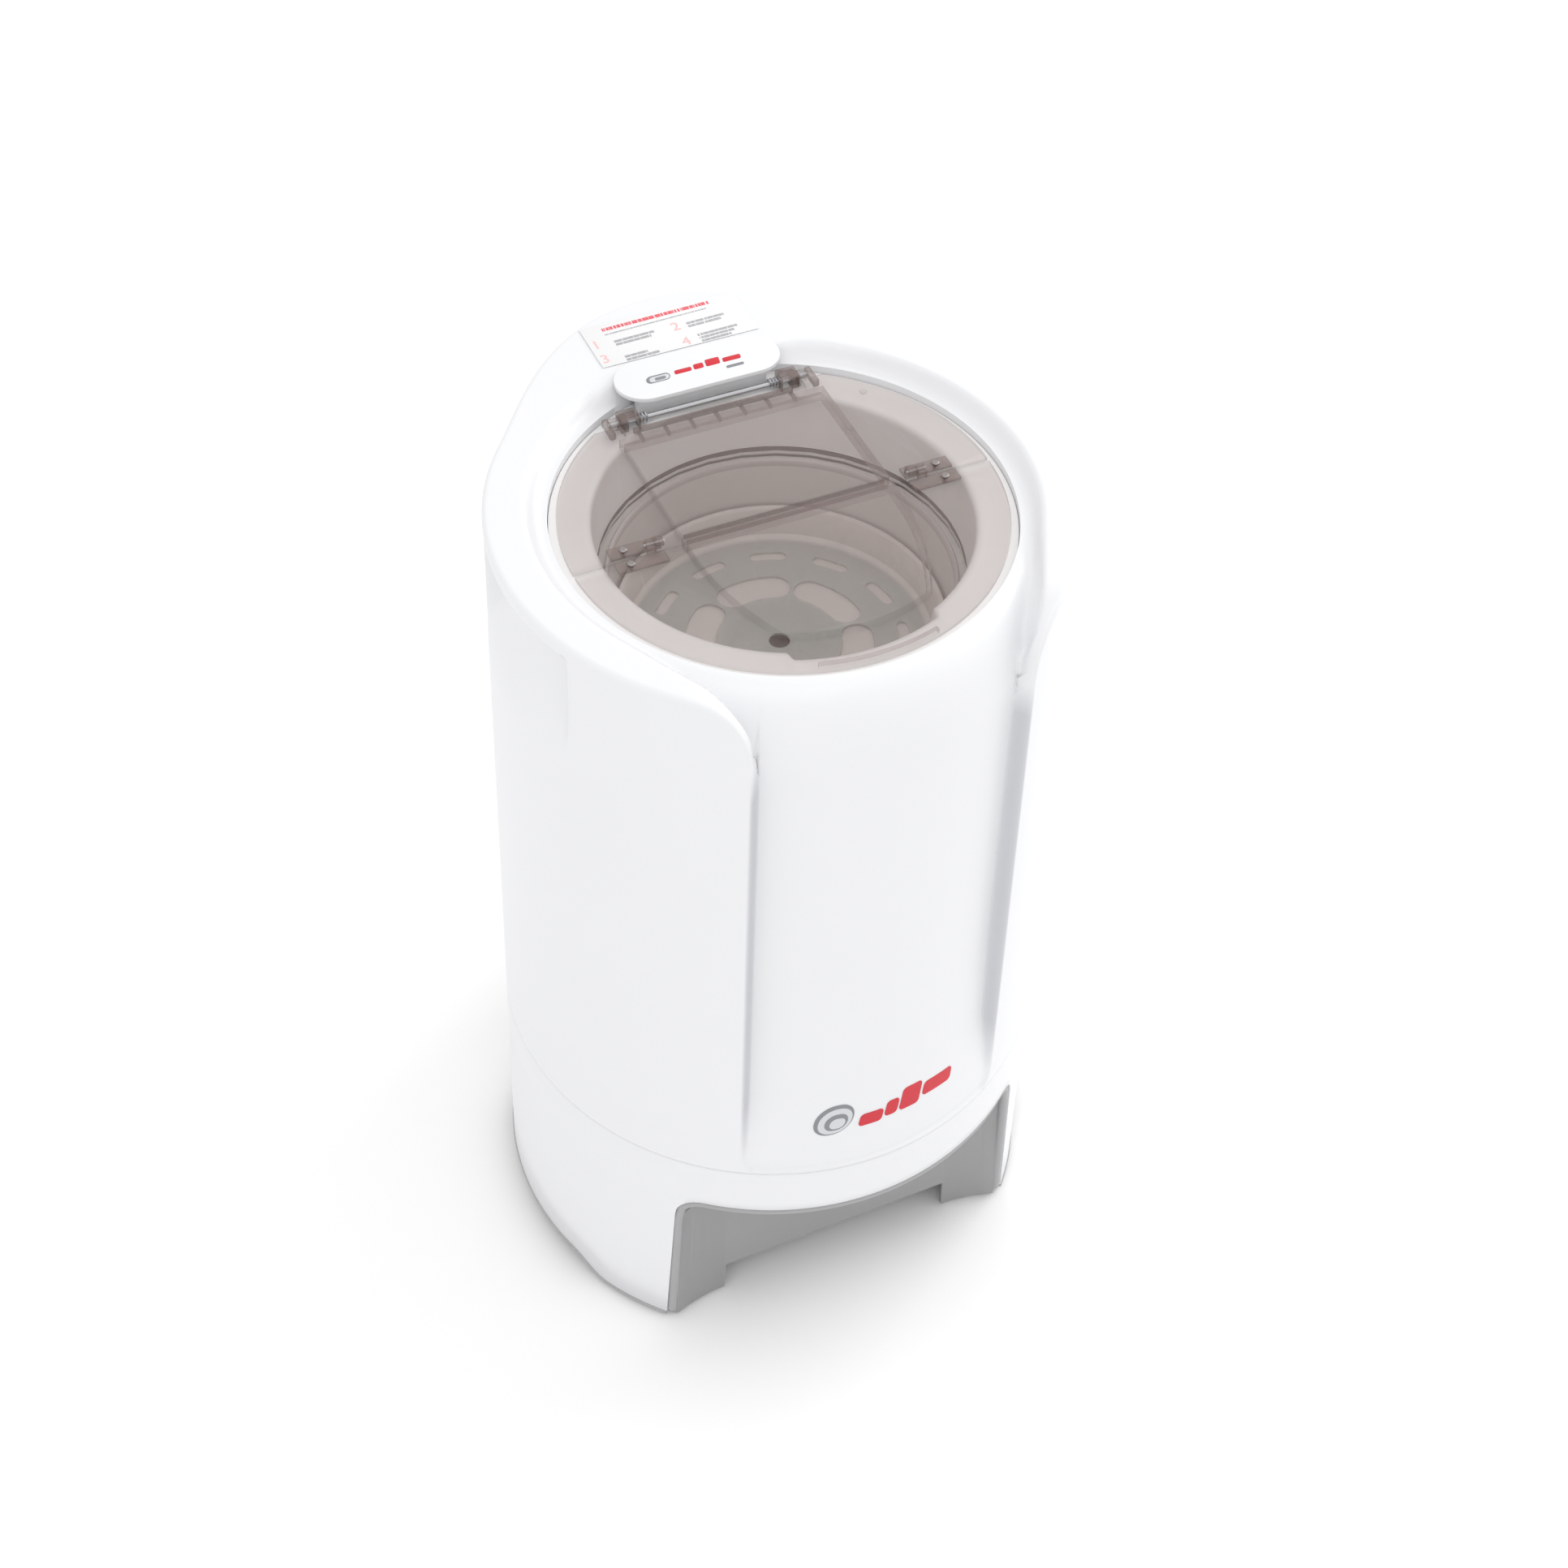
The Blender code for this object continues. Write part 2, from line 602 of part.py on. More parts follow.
def make_feet(joint, material):
    for name, angle in FOOT_ANGLES.items():
        spot = around(FOOT_RING, angle, 0)
        top = BASE_FOOT_Z - GAP
        profile = [(FOOT_RADIUS - 0.0012, 0), (FOOT_RADIUS, 0.0012), (FOOT_RADIUS, top),
                   (FOOT_STEM_RADIUS, top), (FOOT_STEM_RADIUS, BOSS_HEIGHT - 0.008)]
        turned(f"rubber_foot_{name}", profile, material, joint, (spot.x, spot.y), 14, ring=False)


# Deck, badge and label


def open_radius(angle):
    return OPEN_RADIUS + OPEN_WIDENING * (1 - ease(abs(angle), OPEN_WIDE_ANGLE - radians(5), OPEN_WIDE_ANGLE))


def make_top_deck(joint, material):
    extra = [s * (OPEN_WIDE_ANGLE - radians(d)) for s in (1, -1) for d in (4, 2.5, 1, 0)]
    wide = [2 * pi * i / 40 - pi for i in range(40)]
    angles = sorted(extra + [a for a in wide if all(abs(a - b) > radians(2.0) for b in extra)])
    profiles = []
    for angle in angles:
        opening = open_radius(angle)
        profiles.append([(LIP_RADIUS - GAP, DECK_Z - WALL), (LIP_RADIUS - GAP, DECK_Z), (opening + 0.002, DECK_Z),
                         (opening, DECK_Z - 0.0015), (COLLAR_RADIUS, COLLAR_FOOT_Z),
                         (COLLAR_RADIUS + WALL - 0.0005, COLLAR_FOOT_Z), (opening + WALL, DECK_Z - WALL - 0.001)])
    loops = [[around(profile[k][0], angle, profile[k][1]) for angle, profile in zip(angles, profiles)]
             for k in range(len(profiles[0]))]
    deck = loft("top_deck", loops, material, joint, ring=True)
    spot = around(PLUNGER["ring"], PLUNGER["angle"], 0)
    bore = PLUNGER["radius"] + SLIDE_GAP
    hole = turned("cut_plunger_hole", [(bore, DECK_Z - 0.01), (bore, DECK_Z + 0.01)], None, joint,
                  (spot.x, spot.y), 12, ring=False)
    cut(deck, hole)


def stadium(half_width, half_depth, centre_y, steps=10):
    points = []
    for side in (1, -1):
        for i in range(steps + 1):
            turn = -pi / 2 + pi * i / steps
            points.append((side * (half_width - half_depth + half_depth * cos(turn)),
                           centre_y + side * half_depth * sin(turn)))
    return points


def make_badge(joint, material):
    edge = BADGE["edge"]
    outer = stadium(BADGE["half_width"], BADGE["half_depth"], BADGE_Y)
    inner = stadium(BADGE["half_width"] - edge, BADGE["half_depth"] - edge, BADGE_Y)
    loops = [[(x, y, BADGE["low"]) for x, y in outer], [(x, y, BADGE["high"] - edge) for x, y in outer],
             [(x, y, BADGE["high"]) for x, y in inner]]
    badge = loft("badge_plate", loops, material, joint)
    half = BADGE["half_width"] - 0.0125
    low = (-half, BADGE_Y - 0.011, DECK_Z + GAP)
    high = (half, sqrt((LIP_RADIUS - WALL) ** 2 - half ** 2), BADGE["low"] + edge)
    add(badge, box("cut_badge_stand", low, high, None, joint))


def make_label(joint, material):
    low = RIM_Z + SLIDE_GAP
    box("instruction_label", (-LABEL["half_width"], LABEL["front_y"], low),
        (LABEL["half_width"], LABEL["rear_y"], low + LABEL["thick"]), material, joint)


# Lid


def half_disc(radius, cut_y, side, limit=None, steps=24):
    """Half of a circle on one side of the line y = cut_y. A limit clips it flat at the far end."""
    start = asin(cut_y / radius)
    points = []
    for i in range(steps + 1):
        turn = start + (pi - 2 * start) * i / steps if side > 0 else start - (pi + 2 * start) * i / steps
        x, y = radius * cos(turn), radius * sin(turn)
        points.append((x, min(y, limit) if limit else y))
    clipped = []
    for point in points:
        if limit and point[1] == limit and abs(point[0]) < sqrt(radius ** 2 - limit ** 2) - 0.001:
            continue
        clipped.append(point)
    return clipped


def bridge_outline(shrink, rear):
    """Plan of the raised middle of one lid half."""
    half = BRIDGE_HALF - shrink
    if rear:
        near, far = FOLD_Y + FOLD_GAP + shrink, BRIDGE_REAR_Y - shrink
        return [(-half, near), (half, near), (half, far), (-half, far)]
    near = FOLD_Y - FOLD_GAP - shrink
    radius = BRIDGE_FRONT_RADIUS - shrink
    tip = BRIDGE_FRONT_HALF - shrink
    front_angle = asin(tip / radius)
    right = [(half, near)]
    for share in (0.35, 0.6, 0.8):
        run = share ** 2.2
        right.append((half + (tip - half) * run, near + (-radius * cos(front_angle) - near) * share))
    arc = [around(radius, front_angle * (1 - 2 * i / 10), 0) for i in range(11)]
    return [(p[0], p[1]) for p in right] + [(p.x, p.y) for p in arc] + [(-x, y) for x, y in reversed(right)]


def raise_bridge(panel, rear, joint):
    """Adds the raised middle, which is hollow from below."""
    tag = "rear" if rear else "front"
    roof = LID_RAISED_Z - BRIDGE_WALL
    whole, room = bridge_outline(0, rear), bridge_outline(BRIDGE_WALL, rear)
    outside = prism(f"cut_bridge_{tag}", whole, LID_BOTTOM_Z, LID_RAISED_Z, None, joint)
    inside = prism(f"cut_bridge_room_{tag}", room, LID_BOTTOM_Z - 0.01, roof, None, joint)
    add(panel, outside)
    cut(panel, inside)


def screw_spot(row, side):
    return (-1 if side == "left" else 1) * SCREW["x"], FOLD_Y + (1 if row == "rear" else -1) * SCREW["y"]


def screw_hole(row, side, tag, joint):
    profile = [(SCREW["hole"], LID_BOTTOM_Z - 0.01), (SCREW["hole"], LID_RAISED_Z)]
    return turned(f"cut_{tag}_hole_{row}_{side}", profile, None, joint, screw_spot(row, side), 8, ring=False)


def bar(name, xs, y, z, radius, joint, material=None, steps=12):
    """A round bar along X."""
    return rod(name, (xs[0], y, z), (xs[1], y, z), radius, material, joint, steps)


def make_lid_rear(joint, clear):
    top = LID_BOTTOM_Z + LID_THICK
    outline = half_disc(LID_RADIUS, FOLD_Y + FOLD_GAP, 1, LID_REAR_Y)
    panel = prism("lid_rear_panel", outline, LID_BOTTOM_Z, top, clear, joint)
    raise_bridge(panel, True, joint)
    cut(panel, box("cut_lid_rear", (-LID_CUT_HALF, LID_CUT_Y, LID_BOTTOM_Z - 0.01),
                   (LID_CUT_HALF, LID_RADIUS, LID_RAISED_Z + 0.01), None, joint))
    for side, sign in (("left", -1), ("right", 1)):
        xs = sorted((sign * (LID_CUT_HALF + GAP), sign * (LID_CUT_HALF + GAP + KNUCKLE_LENGTH)))
        knuckle = bar(f"cut_knuckle_{side}", xs, HINGE_Y, HINGE_Z, KNUCKLE_RADIUS, joint, steps=20)
        web = box(f"cut_web_{side}", (xs[0], HINGE_Y - 0.014, LID_BOTTOM_Z + 0.0002),
                  (xs[1], HINGE_Y, HINGE_Z + PIN_RADIUS), None, joint)
        add(panel, knuckle, web)
    reach = LID_CUT_HALF + 2 * KNUCKLE_LENGTH
    cut(panel, bar("cut_hinge_bore", (-reach, reach), HINGE_Y, HINGE_Z, PIN_RADIUS + SLIDE_GAP, joint))
    for side in ("left", "right"):
        cut(panel, screw_hole("rear", side, "panel", joint))


def make_lid_front(joint, clear):
    top = LID_BOTTOM_Z + LID_THICK
    panel = prism("lid_front_panel", half_disc(LID_RADIUS, FOLD_Y - FOLD_GAP, -1), LID_BOTTOM_Z, top, clear, joint)
    raise_bridge(panel, False, joint)
    half = asin(GRIP_HALF / LID_RADIUS)
    rim = [around(LID_RADIUS - 0.0005, -half + 2 * half * i / 10, 0) for i in range(11)]
    back = [around(LID_RADIUS - 0.0035, half - 2 * half * i / 10, 0) for i in range(11)]
    add(panel, prism("cut_grip_lip", [(p.x, p.y) for p in rim + back], LID_BOTTOM_Z + 0.001, top + 0.004, None,
                     joint))
    for side in ("left", "right"):
        cut(panel, screw_hole("front", side, "panel", joint))


def make_fold_leaf(row, side, joint, clear):
    """One leaf of a fold hinge: a screwed plate, a web and a barrel on the fold's axis."""
    way = 1 if row == "rear" else -1
    sign = -1 if side == "left" else 1
    name = f"fold_leaf_{row}_{side}"
    low_z = LID_BOTTOM_Z + LID_THICK + LEAF["low"]
    high_z = low_z + LEAF["thick"]
    near = FOLD_Y + way * (FOLD_GAP + SLIDE_GAP)
    ys = sorted((near, FOLD_Y + way * LEAF["depth"]))
    xs = sorted((sign * LEAF["x"][0], sign * LEAF["x"][1]))
    plate = box(name, (xs[0], ys[0], low_z), (xs[1], ys[1], high_z), clear, joint)
    start = LEAF["x"][0] + (0 if row == "rear" else 0.0060)
    span = sorted((sign * start, sign * (start + 0.0056)))
    barrel = bar(f"cut_barrel_{name}", span, FOLD_Y, FOLD_Z, FOLD_BARREL_RADIUS, joint)
    web_ys = sorted((near, FOLD_Y + way * 0.0048))
    web = box(f"cut_web_{name}", (span[0], web_ys[0], low_z + 0.0005),
              (span[1], web_ys[1], FOLD_Z + FOLD_PIN_RADIUS), None, joint)
    bore = bar(f"cut_bore_{name}", (span[0] - 0.01, span[1] + 0.01), FOLD_Y, FOLD_Z,
               FOLD_PIN_RADIUS + SLIDE_GAP, joint)
    add(plate, barrel, web)
    cut(plate, bore, screw_hole(row, side, "leaf", joint))


def make_fold_pin(side, joint, steel):
    sign = -1 if side == "left" else 1
    xs = (sign * (LEAF["x"][0] - 0.001), sign * (LEAF["x"][0] + 0.0125))
    bar(f"fold_pin_{side}", xs, FOLD_Y, FOLD_Z, FOLD_PIN_RADIUS, joint, steel)


def make_fold_screw(row, side, joint, steel):
    seat = LID_BOTTOM_Z + LID_THICK + LEAF["low"] + LEAF["thick"] + SLIDE_GAP
    head, tall = SCREW["head"], SCREW["height"]
    profile = [(SCREW["shank"], LID_BOTTOM_Z + GAP), (SCREW["shank"], seat), (head, seat),
               (head, seat + tall * 0.6), (head * 0.7, seat + tall)]
    turned(f"fold_screw_{row}_{side}", profile, steel, joint, screw_spot(row, side), 10, ring=False)


def make_rear_hinge(joint, clear, steel):
    reach = LID_CUT_HALF + KNUCKLE_LENGTH + 0.0015
    bar("lid_hinge_pin", (-reach, reach), HINGE_Y, HINGE_Z, PIN_RADIUS, joint, steel)
    for side, sign in (("left", -1), ("right", 1)):
        xs = sorted((sign * (LID_CUT_HALF - 0.0055), sign * (LID_CUT_HALF - GAP)))
        bracket = box(f"hinge_bracket_{side}", (xs[0], HINGE_Y - 0.0045, DECK_Z + GAP),
                      (xs[1], HINGE_Y + 0.0045, HINGE_Z + 0.0034), clear, joint)
        cut(bracket, bar(f"cut_bracket_{side}", (xs[0] - 0.01, xs[1] + 0.01), HINGE_Y, HINGE_Z,
                         PIN_RADIUS + SLIDE_GAP, joint))
        start = LID_CUT_HALF - 0.0207 if sign > 0 else 0.0117 - LID_CUT_HALF
        coil(f"lid_spring_{side}", (start, HINGE_Y, HINGE_Z), "x", PIN_RADIUS + 0.0012, 0.0006, 0.009, 4, steel,
             joint)


# Drum, tub and drive


def make_tub(joint, material, rubber, drain):
    bore, wall, foot = SHAFT_RADIUS + 0.0085, TUB_WALL, TUB_FOOT_Z
    top_inner = COLLAR_RADIUS + 0.0005
    profile = [(bore, foot), (TUB_RADIUS - 0.008, foot), (TUB_RADIUS, foot + 0.008), (TUB_RADIUS, TUB_TOP_Z),
               (top_inner, TUB_TOP_Z), (top_inner, TUB_TOP_Z - wall),
               (TUB_RADIUS - wall, TUB_TOP_Z - wall - 0.001), (TUB_RADIUS - wall, foot + 0.009),
               (TUB_RADIUS - 0.009, foot + wall), (bore, foot + wall)]
    tub = turned("outer_tub", profile, material, joint)
    spot = around(TUB_RADIUS - 0.026, radians(-90), 0)
    hole = DRAIN_RADIUS + SLIDE_GAP
    cut(tub, turned("cut_drain", [(hole, foot - 0.01), (hole, foot + 0.02)], None, joint, (spot.x, spot.y), 14,
                    ring=False))
    inner, low, high = DRAIN_RADIUS - 0.0027, SHELF_Z - 0.1, foot + 0.001
    profile = [(inner, low), (DRAIN_RADIUS, low), (DRAIN_RADIUS, high), (inner, high)]
    turned("drain_spout", profile, drain, joint, (spot.x, spot.y), 14)
    inner, low, high = COLLAR_RADIUS + 0.0002, TUB_TOP_Z + GAP, COLLAR_FOOT_Z - GAP
    sleeve("tub_gasket", inner + 0.0043, inner, low, high, rubber, joint, steps=STEPS)


def make_basket(joint, steel, white):
    outer, foot, top, wall = BASKET_RADIUS, BASKET_FOOT_Z, BASKET_TOP_Z, BASKET_WALL
    inner = outer - wall
    profile = [(SHAFT_BORE, foot), (outer - 0.006, foot), (outer, foot + 0.006), (outer, top - 0.003),
               (outer + 0.002, top - 0.001), (outer + 0.0015, top), (inner + 0.0004, top - 0.001),
               (inner, top - 0.004), (inner, foot + 0.0066), (inner - 0.005, foot + wall),
               (SHAFT_BORE, foot + wall)]
    basket = turned("spin_basket", profile, steel, joint)
    mesh = bmesh.new()
    for share in (0.25, 0.55):
        level = foot + (top - foot) * share
        for i in range(12):
            turn = Matrix.Rotation(2 * pi * (i + 0.5) / 12, 4, "Z")
            place = turn @ Matrix.Translation((0, -outer, level)) @ Matrix.Rotation(pi / 2, 4, "X")
            bmesh.ops.create_cone(mesh, cap_ends=True, segments=6, radius1=0.004, radius2=0.004, depth=0.02,
                                  matrix=place)
    cut(basket, finish("cut_perforation", mesh, None, joint))
    sleeve("balance_ring", outer + 0.008, outer + GAP, top - 0.030, top - 0.004, white, joint, steps=STEPS)


def make_disc(joint, clear):
    floor, rim, thick, outer, inner = DISC_FLOOR_Z, DISC_RIM_Z, DISC_THICK, DISC_RADIUS, DISC_FLOOR_RADIUS
    bore = SHAFT_RADIUS + 0.001
    profile = [(bore, floor), (inner, floor), (outer - thick, rim - thick), (outer, rim - thick), (outer, rim),
               (outer - 0.003, rim), (inner - 0.001, floor + thick), (bore, floor + thick)]
    disc = turned("protective_disc", profile, clear, joint)
    beans = [arc_slot(inner * 0.52, inner * 0.21, radians(17), radians(26 + 90 + 60 * i)) for i in range(6)]
    slots = [arc_slot(inner - 0.017, 0.0075, radians(6), radians(30 * i + 11), 2, 1) for i in range(12)]
    cut(disc, many("cut_disc_holes", beans + slots, floor - 0.01, floor + 0.02, joint))


def make_shaft_parts(drum, steel, dark, aluminium):
    """What turns with the basket: shaft, hub, nut, rotor and brake drum."""
    bore, basket_foot = SHAFT_BORE, BASKET_FOOT_Z
    turned("drive_shaft", [(SHAFT_RADIUS, SHAFT_FOOT_Z), (SHAFT_RADIUS, basket_foot + 0.014)], steel, drum,
           steps=16, ring=False)
    turned("drive_hub", [(bore, basket_foot - 0.0165), (bore + 0.0037, basket_foot - 0.0165),
                         (bore + 0.0037, basket_foot - 0.009), (bore + 0.0177, basket_foot - 0.006),
                         (bore + 0.0177, basket_foot - GAP), (bore, basket_foot - GAP)], aluminium, drum,
           steps=20)
    low = basket_foot + BASKET_WALL + GAP
    hexagon, round_bore = hex_loop(bore + 0.0052), [(x, y) for x, y, _ in circle(bore, 0, steps=18)]
    loft("hub_nut", [[(x, y, z) for x, y in edge] for edge, z in
                     ((round_bore, low), (hexagon, low), (hexagon, low + 0.0089), (round_bore, low + 0.0089))],
         steel, drum, ring=True)
    sleeve("motor_rotor", MOTOR_RADIUS - 0.034, bore, MOTOR_SPAN[0] + 0.024, MOTOR_SPAN[1] - 0.034, dark, drum)
    low, high = BRAKE_SPAN
    outer, skirt = BRAKE_RADIUS, BRAKE_RADIUS - 0.003
    turned("brake_drum", [(bore, low), (bore + 0.0057, low), (bore + 0.0057, high - 0.003),
                          (skirt, high - 0.003), (skirt, low), (outer, low), (outer, high), (bore, high)],
           steel, drum, steps=24)


def make_motor(root, steel, aluminium, copper, rubber):
    """What holds the shaft: motor housing and winding, two bearings, their housing and the seal."""
    low, high = MOTOR_SPAN
    tub = TUB_FOOT_Z
    sleeve("lower_bearing", BEARING_RADIUS, SHAFT_BORE, low + 0.009, low + 0.0165, steel, root)
    sleeve("upper_bearing", BEARING_RADIUS, SHAFT_BORE, tub - 0.022, tub - 0.0125, steel, root)
    sleeve("shaft_seal", BEARING_RADIUS, SHAFT_BORE, tub - 0.0105, tub - 0.0045, rubber, root)
    seat = BEARING_SEAT
    turned("bearing_housing", [(seat, tub - 0.0265), (seat + 0.0084, tub - 0.0265),
                               (seat + 0.0124, tub - 0.0065), (0.040, tub - 0.004), (0.040, tub - GAP),
                               (seat, tub - GAP)],
           aluminium, root, steps=INNER_STEPS)
    outer, inner, wall = MOTOR_RADIUS, MOTOR_RADIUS - MOTOR_WALL, MOTOR_WALL
    hole = SHAFT_RADIUS + 0.003
    turned("motor_housing", [(seat, low), (outer - 0.012, low), (outer, low + 0.012), (outer, high),
                             (hole, high), (hole, high - wall), (inner, high - wall), (inner, low + 0.014),
                             (seat + 0.004, low + 0.020), (seat, low + 0.020)], aluminium, root, steps=24)
    sleeve("motor_stator", inner - 0.0015, MOTOR_RADIUS - 0.033, low + 0.026, high - 0.036, copper, root)


def make_spider(joint, material, rubber):
    low, high = SPIDER_Z
    hole = SHAFT_RADIUS + 0.004
    spider = turned("motor_spider", [(hole, low), (SPIDER_RADIUS, low), (SPIDER_RADIUS, high), (hole, high)],
                    material, joint, steps=20)
    shelf_top = SHELF_Z + SHELF_THICK
    for name, angle in MOUNT_ANGLES.items():
        tip = around(MOUNT_RING, angle, 0)
        root = around(SPIDER_RADIUS - 0.010, angle, 0)
        side = Vector((cos(angle), sin(angle), 0)) * SPIDER_ARM
        corners = [root - side, tip - side, tip + side, root + side]
        pad = SPIDER_ARM + 0.0001
        add(spider, prism(f"cut_arm_{name}", [(p.x, p.y) for p in corners], low, high, None, joint),
            turned(f"cut_pad_{name}", [(pad, low), (pad, high)], None, joint, (tip.x, tip.y), 14, ring=False))
        profile = [(MOUNT_RADIUS, shelf_top + SLIDE_GAP), (MOUNT_RADIUS - 0.004, shelf_top + 0.004),
                   (MOUNT_RADIUS, low - SLIDE_GAP)]
        turned(f"suspension_mount_{name}", profile, rubber, joint, (tip.x, tip.y), 14, ring=False)


def make_brake(root, lever, steel, rubber):
    """The lever swings in towards the drum as the lid opens. Its shoe stops short of the rim."""
    low, high = LEVER_SPAN
    pivot = (LEVER_PIVOT.x, LEVER_PIVOT.y)
    turned("brake_pivot_pin", [(LEVER_PIN_RADIUS, SPIDER_Z[1] + SLIDE_GAP), (LEVER_PIN_RADIUS, high + 0.0055)],
           steel, root, pivot, 12, ring=False)
    face = BRAKE_RADIUS + BRAKE_GAP
    arm_x = face + 0.009
    outline = [(pivot[0] - 0.006, pivot[1] - 0.004), (pivot[0] + 0.006, pivot[1] - 0.006), (arm_x + 0.007, 0.0),
               (arm_x + 0.007, -0.030), (arm_x + 0.001, -0.030), (arm_x, 0.012)]
    arm = prism("brake_lever", outline, low, high, steel, lever)
    bore = LEVER_PIN_RADIUS + SLIDE_GAP
    add(arm, turned("cut_lever_eye", [(0.008, low), (0.008, high)], None, lever, pivot, 14, ring=False))
    cut(arm, turned("cut_lever_bore", [(bore, low - 0.01), (bore, high + 0.01)], None, lever, pivot, 12, ring=False))
    half = radians(14)
    inner = [(face * cos(-half + 2 * half * i / 8), face * sin(-half + 2 * half * i / 8)) for i in range(9)]
    back = arm_x - 0.0005
    prism("brake_shoe", inner + [(back, 0.010), (back, -0.010)], low, high, rubber, lever)
    coil("brake_spring", (arm_x + 0.020, -0.022, SPIDER_Z[1] + 0.0015), "z", 0.0045, 0.0008, 0.014, 5, steel, root)


def make_switch(root, plunger, dark, white):
    spot = around(PLUNGER["ring"], PLUNGER["angle"], 0)
    radius, top = PLUNGER["radius"], LID_BOTTOM_Z - SLIDE_GAP
    turned("switch_plunger", [(radius, top - PLUNGER["length"]), (radius, top - 0.0005), (radius - 0.0006, top)],
           white, plunger, (spot.x, spot.y), 12, ring=False)
    body = box("lid_switch", (spot.x - 0.008, spot.y - 0.007, DECK_Z - 0.0365),
               (spot.x + 0.008, spot.y + 0.007, DECK_Z - WALL - 0.001 - GAP), dark, root)
    bore = radius + SLIDE_GAP
    cut(body, turned("cut_switch_bore", [(bore, DECK_Z - 0.0245), (bore, DECK_Z)], None, root, (spot.x, spot.y), 12,
                     ring=False))


def make_capacitor(root, dark):
    spot = around(BODY_RADIUS - 0.0385, radians(140), 0)
    turned("capacitor", [(CAPACITOR_RADIUS, SHELF_Z + SHELF_THICK + GAP), (CAPACITOR_RADIUS, BASE_TOP_Z - 0.003)], dark,
           root, (spot.x, spot.y), 24, ring=False)


def make_cord_gland(root, rubber, skirt, base):
    """Bush for the mains lead, seated in a hole through the skirt and the base at the rear."""
    angle, z, hole = CORD_ENTRY["angle"], CORD_ENTRY["z"], CORD_ENTRY["hole"]
    wall = body_radius(angle, z)
    for thing in (skirt, base):
        cut(thing, rod(f"cut_entry_{thing.name}", around(wall - 0.03, angle, z), around(wall + 0.02, angle, z), hole,
                       None, root, 20))
    across = Vector((cos(angle), sin(angle), 0))
    neck, flange, bore, deep = hole - 0.0007, hole + 0.003, 0.0042, -0.012
    loops = []
    for radius, reach in ((neck, deep), (neck, 0.0012), (flange, 0.0012), (flange, 0.0032), (neck - 0.0003, 0.0055),
                          (bore, 0.0055), (bore, deep)):
        centre = around(wall + reach, angle, z)
        loops.append([centre + radius * (cos(2 * pi * i / 20) * across + sin(2 * pi * i / 20) * Vector((0, 0, 1)))
                      for i in range(20)])
    loft("cord_gland", loops, rubber, root, ring=True)


def build():
    clear_scene()
    machine = empty("machine", (0.0, (front_reach() - rear_reach()) / 2, 0.0))
    lid_rear = empty("lid_rear_joint", (0.0, HINGE_Y, HINGE_Z), machine)
    lid_front = empty("lid_front_joint", (0.0, FOLD_Y, FOLD_Z), lid_rear)
    drum = empty("drum_joint", (0.0, 0.0, SHAFT_FOOT_Z), machine)
    disc = empty("disc_joint", (0.0, 0.0, DISC_FLOOR_Z), drum)
    plunger = empty("plunger_joint", around(PLUNGER["ring"], PLUNGER["angle"], LID_BOTTOM_Z), machine)
    lever = empty("brake_joint", (LEVER_PIVOT.x, LEVER_PIVOT.y, LEVER_SPAN[0]), machine)

    white = plain("white_plastic", (0.90, 0.90, 0.91), 0.35)
    grey = plain("grey_plastic", (0.28, 0.28, 0.29), 0.45)
    smoke = plain("smoked_clear_plastic", (0.62, 0.54, 0.52), 0.08, alpha=0.45)
    disc_clear = plain("green_clear_plastic", (0.55, 0.60, 0.55), 0.2, alpha=0.6)
    steel = plain("steel", (0.60, 0.60, 0.60), 0.3, 1.0)
    aluminium = plain("cast_aluminium", (0.50, 0.50, 0.51), 0.5, 1.0)
    rubber = plain("rubber", (0.05, 0.05, 0.05), 0.8)
    dark = plain("dark_plastic", (0.06, 0.06, 0.07), 0.5)
    copper = plain("copper_winding", (0.60, 0.28, 0.12), 0.4, 0.8)
    paper = plain("printed_film", (0.93, 0.93, 0.93), 0.4)

    make_cabinet_shell(machine, white)
    skirt = make_lower_skirt(machine, white)
    base = make_base_frame(machine, grey)
    make_cord_gland(machine, rubber, skirt, base)
    make_feet(machine, rubber)
    make_top_deck(machine, white)
    make_badge(machine, white)
    make_label(machine, paper)
    make_lid_rear(lid_rear, smoke)
    make_lid_front(lid_front, smoke)
    make_rear_hinge(machine, smoke, steel)
    for side in ("left", "right"):
        make_fold_leaf("rear", side, lid_rear, smoke)
        make_fold_leaf("front", side, lid_front, smoke)
        make_fold_pin(side, lid_rear, steel)
        make_fold_screw("rear", side, lid_rear, steel)
        make_fold_screw("front", side, lid_front, steel)
    make_tub(machine, white, rubber, grey)
    make_basket(drum, steel, white)
    make_disc(disc, disc_clear)
    make_shaft_parts(drum, steel, dark, aluminium)
    make_motor(machine, steel, aluminium, copper, rubber)
    make_spider(machine, steel, rubber)
    make_brake(machine, lever, steel, rubber)
    make_switch(machine, plunger, dark, white)
    make_capacitor(machine, dark)


build()
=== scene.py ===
"""Spin dryer: the finished cabinet, base, folding lid and basket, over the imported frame."""

import json
from math import asin, cos, pi, radians, sin, sqrt

import bmesh
import bpy
from mathutils import Matrix, Vector


